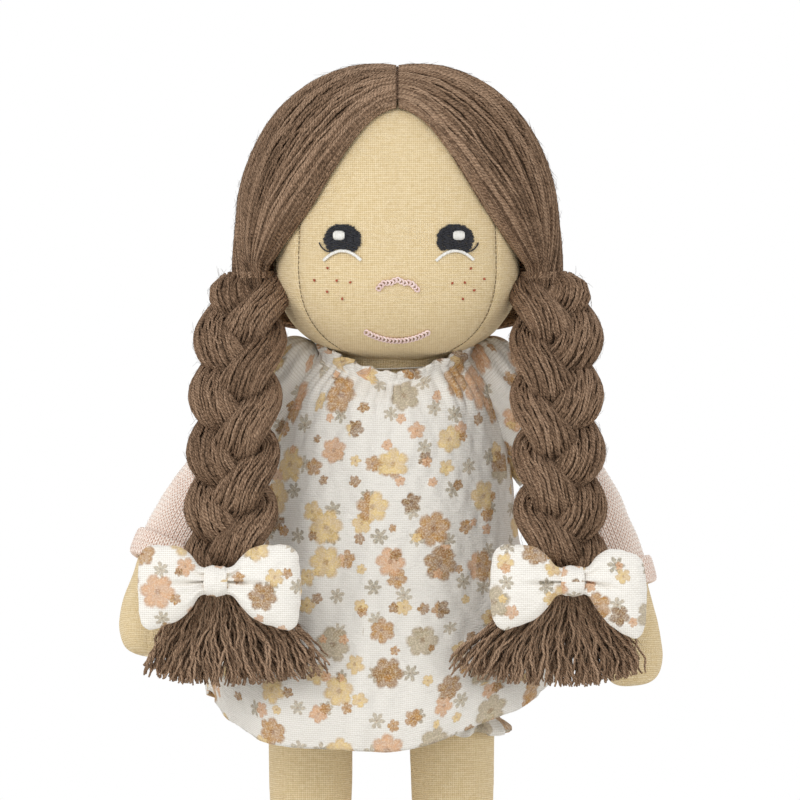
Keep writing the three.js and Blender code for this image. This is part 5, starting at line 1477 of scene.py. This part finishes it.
def ring_cloth(name, outer, inner, material, outer_uv, inner_uv):
    """A closed sleeve of cloth: fine rings outside, then the inner rings back to the start."""
    points = np.concatenate([outer, inner, outer[:1]])
    uv = np.concatenate([outer_uv, inner_uv, outer_uv[:1]])
    piece = grid_piece(name, points, material, uv, closed=True)
    edit = bmesh.new()
    edit.from_mesh(piece.data)
    bmesh.ops.remove_doubles(edit, verts=edit.verts, dist=1e-7)
    bmesh.ops.recalc_face_normals(edit, faces=edit.faces)
    edit.to_mesh(piece.data)
    edit.free()
    return piece


# %% Sleeves of the pullover
CUFF_LENGTH, CUFF_OVER, CUFF_ROLL = 9 * MM, 0.8 * MM, 1.5 * MM
KNIT_OUTSIDE, KNIT_INSIDE = 1.2 * MM, 0.35 * MM
SLEEVE_LENGTHS = {"left": 90 * MM, "right": 82 * MM}
SLEEVE_COLUMNS = 49
SLEEVE_FINE = 5
KNIT_COLUMNS = SLEEVE_COLUMNS * SLEEVE_FINE
ELBOW, ELBOW_REACH = 40 * MM, 9 * MM


def sleeve_folds(name, stations, turn):
    """Soft slack in the knit, and the crook of the elbow."""
    slack = 0.45 * MM * waves(31 + SIDES[name], stations / (11 * MM), np.sin(turn), np.cos(turn))
    rolls = 0.5 * MM * np.cos(stations / (2.3 * MM) + np.sin(turn)) * bell(stations - ELBOW, ELBOW_REACH)
    return slack + rolls * (0.5 + 0.5 * np.sin(turn) * -SIDES[name])


def knit_sleeve(name):
    length, sleeve_length = arm_lines[name][1][-1], SLEEVE_LENGTHS[name]
    columns = KNIT_COLUMNS
    cap = np.radians(np.linspace(10, 84, 12))
    body = np.linspace(0, sleeve_length, int(sleeve_length / COURSE * 3.7))
    radius = ARM_RADIUS + 2.5 * MM
    stations = np.concatenate([-radius * np.cos(cap), body])
    base = ARM_RADIUS * along(ARM_SHAPE, body / length) + KNIT_OUTSIDE
    base = np.concatenate([radius * np.sin(cap) - 0.6 * MM, base])[:, None]
    turn = full_turn(columns)[None]
    u = np.arange(columns)[None] / SLEEVE_FINE * WALE
    folds = sleeve_folds(name, stations[:, None], turn) * smooth(0, 20 * MM, stations[:, None])
    outer = arm_rings(name, stations, base + folds + KNIT_RELIEF * stockinette(u, stations[:, None]), columns)
    inside = np.linspace(sleeve_length, 4 * MM, 14)
    inner_radii = ARM_RADIUS * along(ARM_SHAPE, inside / length)[:, None] + KNIT_INSIDE + 0 * turn
    inner = arm_rings(name, inside, inner_radii, columns)
    width = SLEEVE_COLUMNS * WALE
    outer_uv, inner_uv = cloth_uv(stations, columns, width), cloth_uv(inside, columns, width)
    sleeve = ring_cloth(f"sleeve_knit_{name}", outer, inner, knit_finish, outer_uv, inner_uv)
    return settle(sleeve, f"arm_{name}", "pink_knit", f"knit_sleeve_{name}")


sleeves = {name: knit_sleeve(name) for name in SIDES}


def cuff(name):
    """A rolled band of knit over the end of the sleeve."""
    length = arm_lines[name][1][-1]
    columns = KNIT_COLUMNS
    share = np.linspace(0, 1, 44)
    stations = SLEEVE_LENGTHS[name] - CUFF_LENGTH + share * (CUFF_LENGTH + CUFF_OVER)
    base = ARM_RADIUS * along(ARM_SHAPE, stations / length) + 2.5 * MM
    roll = CUFF_ROLL * (1 - np.abs(2 * share - 1) ** 6) ** 0.5
    turn = full_turn(columns)[None]
    u = (np.arange(columns)[None] / SLEEVE_FINE + 0.5) * WALE
    rib = 0.55 * MM * stockinette(stations[:, None] * 1.3, u * 0.76)
    radii = base[:, None] + roll[:, None] + rib + sleeve_folds(name, stations[:, None], turn) * 0.6
    outer = arm_rings(name, stations, radii, columns)
    inside = np.linspace(stations[-1], stations[0], 5)
    inner_radii = (ARM_RADIUS * along(ARM_SHAPE, inside / length) + 0.5 * MM)[:, None] + 0 * turn
    inner = arm_rings(name, inside, inner_radii, columns)
    width = SLEEVE_COLUMNS * WALE
    outer_uv, inner_uv = cloth_uv(stations, columns, width), cloth_uv(inside, columns, width)
    band = ring_cloth(f"cuff_knit_{name}", outer, inner, knit_finish, outer_uv, inner_uv)
    settle(band, f"arm_{name}", "pink_knit", f"knit_cuff_{name}")


for name in SIDES:
    cuff(name)

# %% [markdown]
# Torso and legs are linen bags too. The torso and the body of the pullover are hidden under the dress, but
# they are there, because the dress moves off them when the doll is turned over.

# %% Torso, neck and what is under the dress
TORSO_LENGTH = 108 * MM
TORSO_HALF_WIDTH, TORSO_HALF_DEPTH = 36 * MM, 23 * MM
TORSO_WIDE = [
    (0, 0.97), (0.05, 1.04), (0.16, 1.06), (0.34, 0.98), (0.6, 0.95),
    (0.8, 1), (0.9, 0.94), (0.965, 0.72), (1, 0.5),
]
TORSO_DEEP = [
    (0, 0.1), (0.05, 0.6), (0.16, 0.96), (0.34, 1.04), (0.6, 1.02),
    (0.8, 1), (0.9, 0.92), (0.965, 0.8), (1, 0.6),
]
BODY_COLUMNS = 120


def ovals(z, half_width, half_depth):
    """Level rings round the leaning middle of the body."""
    turn = full_turn(BODY_COLUMNS)
    z = np.asarray(z)[:, None]
    x = HEAD_X + lean(z) + np.asarray(half_width).reshape(len(z), -1) * np.sin(turn)
    y = HEAD_Y - np.asarray(half_depth).reshape(len(z), -1) * np.cos(turn)
    return stacked(x, y, z)


def torso_rings(low, high, grow, rows):
    """Rings round the torso between two shares of its height, with their heights."""
    share = np.linspace(low, high, rows)
    wide = TORSO_HALF_WIDTH * along(TORSO_WIDE, share) + grow
    deep = np.maximum(TORSO_HALF_DEPTH * along(TORSO_DEEP, share) + grow, 1.2 * MM)
    heights = HIP_Z + share * TORSO_LENGTH
    return ovals(heights, wide, deep), heights


rings, heights = torso_rings(0.004, 0.99, 0, 70)
uv = cloth_uv(heights, BODY_COLUMNS, 190 * MM)
torso = grid_piece("torso_linen", rings, linen_finish, uv, closed=True, caps=True)
settle(torso, "torso", "skin_linen", "torso_front_panel", "torso_back_panel", "torso_stuffing")


def torso_cloth(name, low, high, outside, inside, rows, material, width):
    """A tube of cloth on the torso between two shares of its height, with an outer and an inner face."""
    outer, outer_heights = torso_rings(low, high, outside, rows[0])
    inner, inner_heights = torso_rings(high, low, inside, rows[1])
    uvs = [cloth_uv(h[::-1], BODY_COLUMNS, width) for h in (outer_heights, inner_heights)]
    return ring_cloth(name, outer[::-1], inner[::-1], material, *uvs)


knit_skins, knit_rows = (2.4 * MM, 0.5 * MM), (60, 8)
pullover = torso_cloth("pullover_knit", 0.185, 0.96, *knit_skins, knit_rows, flat_knit_finish, 100 * WALE)
settle(pullover, "torso", "pink_knit", "knit_body")

gauze_skins, gauze_rows = (1.3 * MM, 0.4 * MM), (24, 6)
bloomers = torso_cloth("bloomers_gauze", 0.03, 0.18, *gauze_skins, gauze_rows, gauze_finish, 210 * MM)
settle(bloomers, "torso", "printed_gauze", "bloomers")

NECK_HALF_WIDTH, NECK_HALF_DEPTH = 25 * MM, 13.5 * MM
neck_low, neck_high = corners("neck")
heights = np.linspace(neck_low[2], neck_high[2] + 2 * MM, 26)
turn = full_turn(BODY_COLUMNS)
gathers = 0.3 * MM * np.cos(turn * 46 + 2 * np.sin(turn * 5)) + 0 * heights[:, None]
rings = ovals(heights, NECK_HALF_WIDTH + gathers, NECK_HALF_DEPTH + gathers)
uv = cloth_uv(heights, BODY_COLUMNS, 130 * MM)
neck = grid_piece("neck_linen", rings, linen_finish, uv, closed=True, caps=True)
settle(neck, "torso", "skin_linen", "neck")

# %% [markdown]
# The dress is one width of gauze drawn in by an elastic at the neck, with a small frill above it, and falls
# in soft folds to a rounded hem. Its surface is a formula of the way round and the way down. Waves of
# different lengths run down it, because real gathers never repeat, and small puckers are the crinkle of
# double gauze. It is made as a front and a back, as it is sewn.

# %% Shape of the dress
DRESS_LENGTH = 144 * MM
NECKLINE_HALF_WIDTH, NECKLINE_HALF_DEPTH = 28 * MM, 23 * MM
HEM_HALF_WIDTH, HEM_HALF_DEPTH = 68 * MM, 51 * MM
DRESS_SPREAD = [
    (0, 0), (0.035, 0.03), (0.08, 0.23), (0.16, 0.37), (0.3, 0.48),
    (0.45, 0.57), (0.62, 0.7), (0.8, 0.87), (0.92, 1), (1, 0.99),
]
HEM_RISE, HEM_LEFT_RISE = 20.5 * MM, 25 * MM
NECKLINE_RISE = 11 * MM
GATHER_LINE = 0.03
GAUZE = 0.8 * MM
ARM_ROOM, SHOULDER_PART = 15.6 * MM, 40 * MM
DRESS_COLUMNS, DRESS_ROWS = 226, 120


def dress_point(turn, share, lift=0.0):
    """The dress at a turn from its front middle and a share of its length from the neckline."""
    turn, share = np.broadcast_arrays(turn, share)
    sideways = np.sin(turn) ** 2
    spread = along(DRESS_SPREAD, share)
    half_width = lerp(NECKLINE_HALF_WIDTH, HEM_HALF_WIDTH, spread) + lift
    half_depth = lerp(NECKLINE_HALF_DEPTH, HEM_HALF_DEPTH, spread) + lift
    uneven = turn + 0.07 * np.sin(3 * turn + 1.1) + 0.045 * np.sin(7 * turn + 0.4)
    ruffle = 0.85 * MM * np.cos(27 * uneven) + 0.45 * MM * np.cos(51 * turn + 1)
    frill = smooth(0.034, 0, share) * (ruffle + 1.2 * MM)
    pleats = smooth(0.018, 0.045, share) * smooth(0.14, 0.05, share)
    gathers = 0.6 * MM * pleats * np.cos(44 * uneven + 0.9 * np.sin(9 * turn))
    yoke = 0.5 * MM * smooth(0.04, 0.09, share) * smooth(0.34, 0.1, share)
    gathers = gathers + yoke * np.cos(19 * uneven + 1)
    drape = smooth(0.16, 1, share)
    folds = 1.2 * MM * drape * np.cos(12 * uneven + 0.8 * np.sin(2 * turn) + 1.9 * share)
    folds = folds + 1.3 * MM * drape * np.cos(7 * turn + 1.3 * np.sin(3 * turn) + 2 - 2.4 * share)
    folds = folds + 0.35 * MM * drape * np.cos(22 * uneven + 3.2 * share + 1.5 * np.sin(5 * turn))
    sag = 0.5 * MM * waves(71, np.sin(turn) * 7, np.cos(turn) * 7, share * 9) * smooth(0.08, 0.2, share)
    crinkle = 0.24 * MM * waves(73, turn * 46, share * 44, count=4) * smooth(0.03, 0.08, share)
    fold = frill + gathers + folds + sag + crinkle
    neck_rise = NECKLINE_RISE * sideways**0.8 * smooth(0.16, 0, share)
    right_rise, left_rise = HEM_RISE * sideways**2.05, HEM_LEFT_RISE * sideways**0.87
    hem_rise = np.where(np.sin(turn) > 0, left_rise, right_rise) * smooth(0.55, 1, share)
    edge = 0.4 * MM * np.cos(7 * uneven + 2) * smooth(0.8, 1, share)
    edge = edge + 0.5 * MM * np.cos(21 * uneven + 1) * smooth(0.03, 0, share)
    z = NECK_Z + 2 * MM - share * DRESS_LENGTH + neck_rise + hem_rise + edge
    x = HEAD_X + lean(z) + (half_width + fold) * np.sin(turn)
    y = HEAD_Y - (half_depth + fold) * np.cos(turn)
    return np.stack([x, y, z], -1)


def in_arm_room(points):
    """True for points inside a shoulder or a sleeve, where the dress is cut out for the arm."""
    inside = np.zeros(len(points), bool)
    for name in SIDES:
        line = arm_lines[name][0][::20]
        line = line[np.linalg.norm(line - line[0], axis=1) < SHOULDER_PART]
        near = np.linalg.norm(points[:, None] - line[None], axis=2).min(axis=1)
        inside |= near < ARM_ROOM
    return inside


def dress_panel(name, from_turn, to_turn, shift, node):
    """The dress from one turn to another, with room for the arms cut out; shift is its place on the print."""
    turn = np.linspace(from_turn, to_turn, DRESS_COLUMNS)[None]
    share = np.concatenate([np.linspace(0, 0.12, 34)[:-1], np.linspace(0.12, 1, DRESS_ROWS - 33)])[:, None]
    points = dress_point(turn, share)
    steps = np.linalg.norm(np.diff(points, axis=1), axis=2)
    width = np.concatenate([np.zeros((DRESS_ROWS, 1)), np.cumsum(steps, axis=1)], axis=1)
    half = DRESS_COLUMNS // 2
    width = width - width[:, half : half + 1] + shift
    height = way_along(points[:, half])
    uv = stacked(width, -height[:, None])
    panel = grid_piece(name, points, gauze_finish, uv)
    edit = bmesh.new()
    edit.from_mesh(panel.data)
    edit.faces.ensure_lookup_table()
    middles = np.array([face.calc_center_median() for face in edit.faces])
    holes = [edit.faces[i] for i in np.flatnonzero(in_arm_room(middles))]
    bmesh.ops.delete(edit, geom=holes, context="FACES")
    edit.to_mesh(panel.data)
    edit.free()
    give_thickness(panel, GAUZE)
    return settle(panel, "torso", "printed_gauze", node)


# %% Dress
dress_panel("dress_front_gauze", -math.pi / 2, math.pi / 2, 0.0, "dress_front")
dress_panel("dress_back_gauze", math.pi / 2, 3 * math.pi / 2, 0.31, "dress_back")


# %% [markdown]
# The hem is stitched about nine millimetres above its edge. A clear elastic thread lies behind the gauze in
# the gather line, and a second loop of it lies round the neck.

# %% Hem stitches and elastic
HEM_SHARE, HEM_PITCH, HEM_STITCH, HEM_THREAD = 0.938, 2.5 * MM, 1.6 * MM, 0.24 * MM
ELASTIC = 0.34 * MM
turns = np.linspace(-math.pi, math.pi, 3000)
hem_line = dress_point(turns, HEM_SHARE, 0.15 * MM)
hem_thread = thread("hem_thread", "#f3efe7", "#cfc6b6")
hem_dashes = dashes_along(hem_line, HEM_PITCH, HEM_STITCH, 5)
hem = yarns("hem_stitches", hem_dashes, HEM_THREAD, hem_thread, sides=5)
settle(hem, "torso", "white_thread")
loop = np.linspace(-math.pi, math.pi, 220)
gather_line = dress_point(loop, GATHER_LINE, -GAUZE - 0.6 * MM)
neck_loop = np.stack([
    HEAD_X + (NECK_HALF_WIDTH + 1.2 * MM) * np.sin(loop),
    HEAD_Y - (NECK_HALF_DEPTH + 1.6 * MM) * np.cos(loop),
    NECK_Z + 4.2 * MM + 1.4 * MM * np.sin(loop - 0.9),
], -1)
elastic = yarns("neck_elastic_thread", np.stack([gather_line, neck_loop]), ELASTIC, elastic_finish)
settle(elastic, "torso", "white_thread", "neck_elastic")

# %% [markdown]
# The short sleeves of the dress are cut in one with the yoke and gathered into the neckline, so each one is a
# puffed cap over the shoulder that runs into a loose tube. It blends from the torso to the arm.

# %% Sleeves of the dress
DRESS_SLEEVE_LENGTH = 34 * MM
SLEEVE_RADIUS = ARM_RADIUS + 3.3 * MM
DRESS_SLEEVE_COLUMNS = 168
PUFF = 6.5 * MM


def dress_sleeve(name):
    side = SIDES[name]
    shoulder = joint_at[f"arm_{name}_raise"]
    columns = DRESS_SLEEVE_COLUMNS
    cap = np.radians(np.linspace(3, 86, 36))
    body = np.linspace(0, DRESS_SLEEVE_LENGTH, 44)
    stations = np.concatenate([-SLEEVE_RADIUS * np.cos(cap), body])
    flare = 0.5 * MM * smooth(0, 1, body / DRESS_SLEEVE_LENGTH)
    base = np.concatenate([SLEEVE_RADIUS * np.sin(cap), SLEEVE_RADIUS + flare])[:, None]
    turn = full_turn(columns)[None]
    at = stations[:, None]
    pleats = 0.6 * MM * np.cos(17 * turn + 1.2 * np.sin(3 * turn)) * smooth(34 * MM, -10 * MM, at)
    folds = 0.5 * MM * np.cos(8 * turn + 2 * np.sin(2 * turn)) * smooth(4 * MM, 30 * MM, at)
    crinkle = 0.2 * MM * waves(91 + side, turn * 9, at / (3 * MM), count=4)
    radii = base + (pleats + folds + crinkle) * np.minimum(base / SLEEVE_RADIUS, 1)
    outer = arm_rings(name, stations, radii, columns)
    away = outer - shoulder
    upward = unit(away) @ unit(np.array([-0.35 * side, -0.1, 0.94]))
    lift = PUFF * smooth(0.45, 1.0, upward)
    outer = outer + lift[..., None] * unit(np.array([-0.25 * side, 0.0, 1.0]))
    inside = np.linspace(DRESS_SLEEVE_LENGTH, 2 * MM, 12)
    inner_radii = SLEEVE_RADIUS - 0.9 * MM + 0.4 * MM * smooth(0, 1, inside / DRESS_SLEEVE_LENGTH)
    inner = arm_rings(name, inside, inner_radii[:, None] + 0 * turn, columns)
    width = 2 * math.pi * (SLEEVE_RADIUS + 1.5 * MM)
    outer_uv = cloth_uv(stations, columns, width) + np.array([0.17 * side, 0.23])
    inner_uv = cloth_uv(inside, columns, width)
    piece = ring_cloth(f"dress_sleeve_gauze_{name}", outer, inner, gauze_finish, outer_uv, inner_uv)
    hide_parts(f"dress_sleeve_{name}")
    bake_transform(piece)


for name in SIDES:
    dress_sleeve(name)

# %% [markdown]
# A leg is a tube that runs into a foot turned forward. Tube and foot are two closed shapes that a voxel
# remesh melts into one skin, which is then smoothed and given its grain again.

# %% Legs
LEG_RADIUS = 16.2 * MM
LEG_WIDE = [(0.1, 0.86), (0.35, 0.93), (0.6, 1), (0.8, 1.02), (0.89, 1.02), (0.95, 1), (1, 0.95)]
LEG_DEEP = [(0.1, 0.86), (0.35, 0.93), (0.6, 1), (0.8, 1.02), (0.89, 0.8), (0.95, 0.45), (1, 0.13)]
FOOT_LENGTH, FOOT_HALF_WIDTH, FOOT_HEIGHT, HEEL_BACK = 52 * MM, 16.8 * MM, 27 * MM, 17 * MM
SOLE_TOP = 1.9 * MM
LEG_COLUMNS = 64


def cut_below(piece, height):
    """Cuts off what is below a height and closes the cut."""
    select_only(piece)
    bpy.ops.object.mode_set(mode="EDIT")
    bpy.ops.mesh.select_all(action="SELECT")
    bpy.ops.mesh.bisect(plane_co=(0, 0, height), plane_no=(0, 0, 1), use_fill=True, clear_inner=True)
    bpy.ops.object.mode_set(mode="OBJECT")


def leg(name):
    x, y = joint_at[f"leg_{name}_swing"][:2]
    share = np.linspace(0.1, 0.998, 60)
    turn = full_turn(LEG_COLUMNS)
    wide = (LEG_RADIUS * along(LEG_WIDE, share))[:, None]
    deep = np.maximum(LEG_RADIUS * along(LEG_DEEP, share), 1.5 * MM)[:, None]
    stuffed = 0.3 * MM * waves(47 + SIDES[name], share[:, None] * 9, np.sin(turn), np.cos(turn))
    across, deep = x + (wide + stuffed) * np.sin(turn), y - (deep + stuffed) * np.cos(turn)
    rings, uv = stacked(across, deep, share[:, None] * HIP_Z), cloth_uv(share, LEG_COLUMNS, 1)
    tube = grid_piece("tube", rings, linen_finish, uv, closed=True, caps=True)
    foot_at = (x, y + HEEL_BACK - FOOT_LENGTH / 2, 0.42 * FOOT_HEIGHT)
    bpy.ops.object.select_all(action="DESELECT")
    bpy.ops.mesh.primitive_uv_sphere_add(segments=64, ring_count=32, radius=1, location=foot_at)
    foot = bpy.context.object
    foot.scale = (FOOT_HALF_WIDTH, FOOT_LENGTH / 2, 0.62 * FOOT_HEIGHT)
    bpy.ops.object.transform_apply(location=True, scale=True)
    skin = joined(f"leg_linen_{name}", [tube, foot])
    remesh = skin.modifiers.new("remesh", "REMESH")
    remesh.mode = "VOXEL"
    remesh.voxel_size = 1.3 * MM
    relax = skin.modifiers.new("relax", "CORRECTIVE_SMOOTH")
    relax.iterations = 12
    relax.use_only_smooth = True
    apply_modifiers(skin)
    cut_below(skin, SOLE_TOP)
    bpy.ops.object.shade_smooth()
    skin.data.materials.clear()
    skin.data.materials.append(linen_finish)
    unwrap_limb(skin, x, y)
    settle(skin, f"leg_{name}", "skin_linen", f"leg_skin_{name}", f"leg_stuffing_{name}")


def unwrap_limb(piece, x, y):
    """Straight grain round an upright limb, and along the top of its foot."""
    mesh = piece.data
    layer = mesh.uv_layers.new(name="cloth") if not mesh.uv_layers else mesh.uv_layers[0]
    spots = positions(piece)
    vertex = read_loops(mesh)
    for face in mesh.polygons:
        middle = np.array(face.center)
        front = abs(face.normal.y) >= abs(face.normal.x) * 0.9
        for loop in face.loop_indices:
            spot = spots[vertex[loop]]
            if abs(face.normal.z) > 0.75:
                layer.data[loop].uv = (spot[0], spot[1])
            elif front:
                reach = max(-1.0, min(1.0, (spot[0] - x) / LEG_RADIUS))
                back = 0.1 if middle[1] > y else 0
                layer.data[loop].uv = (LEG_RADIUS * math.asin(reach) + back, spot[2])
            else:
                reach = max(-1.0, min(1.0, (spot[1] - y) / LEG_RADIUS))
                bent = LEG_RADIUS * math.asin(reach) if spot[2] > FOOT_HEIGHT else spot[1] - y
                layer.data[loop].uv = (0.2 + bent, spot[2])


def sole(name):
    low, high = corners(f"sole_{name}")
    middle = (low + high) / 2
    bpy.ops.object.select_all(action="DESELECT")
    bpy.ops.mesh.primitive_cylinder_add(vertices=96, radius=1, depth=1, location=tuple(middle))
    piece = bpy.context.object
    piece.name = f"sole_linen_{name}"
    piece.scale = tuple((high - low) / np.array([2.16, 2.08, 1]))
    bpy.ops.object.transform_apply(location=True, scale=True)
    bpy.ops.object.mode_set(mode="EDIT")
    bpy.ops.mesh.select_all(action="SELECT")
    bpy.ops.mesh.bevel(offset=0.5 * MM, segments=3, affect="EDGES")
    bpy.ops.object.mode_set(mode="OBJECT")
    piece.data.materials.append(linen_finish)
    unwrap_limb(piece, middle[0], middle[1])
    settle(piece, f"leg_{name}", "skin_linen", f"sole_{name}")


for name in SIDES:
    leg(name)
    sole(name)

# %% [markdown]
# Each leg of the bloomers is a puff of gauze drawn in by an elastic, with a ruffle below it that shows under
# the hem of the dress.

# %% Legs of the bloomers
BLOOMER_LOW, BLOOMER_HEIGHT = 30 * MM, 19 * MM
BLOOMER_EASE = 5 * MM
BLOOMER_COLUMNS = 200


def bloomer_leg(name):
    x, y = joint_at[f"leg_{name}_swing"][:2]
    columns = BLOOMER_COLUMNS
    share = np.linspace(1, 0, 46)
    ease = along([(0, 1.08), (0.1, 1.12), (0.2, 0.86), (0.34, 0.32), (0.6, 1.1), (1, 1)], share)[:, None]
    turn = full_turn(columns)[None]
    uneven = turn + 0.1 * np.sin(3 * turn)
    ruffle = 1.5 * MM * np.cos(18 * uneven) * smooth(0.32, 0, share)[:, None]
    gathers = 0.6 * MM * np.cos(30 * uneven) * smooth(0.75, 0.4, share)[:, None]
    radius = LEG_RADIUS + BLOOMER_EASE * ease + ruffle + gathers * smooth(0.28, 0.36, share)[:, None]
    z = HIP_Z - BLOOMER_LOW + share[:, None] * BLOOMER_HEIGHT
    z = z + 0.9 * MM * np.cos(9 * uneven + 1) * smooth(0.3, 0, share)[:, None]

    def rings(radius, z):
        spots = [x + radius * np.sin(turn), y - radius * np.cos(turn), z + 0 * turn]
        return stacked(*spots)[:, ::-1]

    outer = rings(radius, z)
    inner = rings((radius - GAUZE)[::-3], z[::-3])
    outer_uv = cloth_uv(share * BLOOMER_HEIGHT, columns, 170 * MM) + 0.4 + 0.1 * SIDES[name]
    inner_uv = cloth_uv(share[::-3] * BLOOMER_HEIGHT, columns, 170 * MM)
    piece = ring_cloth(f"bloomer_leg_gauze_{name}", outer, inner, gauze_finish, outer_uv, inner_uv)
    settle(piece, f"leg_{name}", "printed_gauze", f"bloomer_leg_{name}")


for name in SIDES:
    bloomer_leg(name)
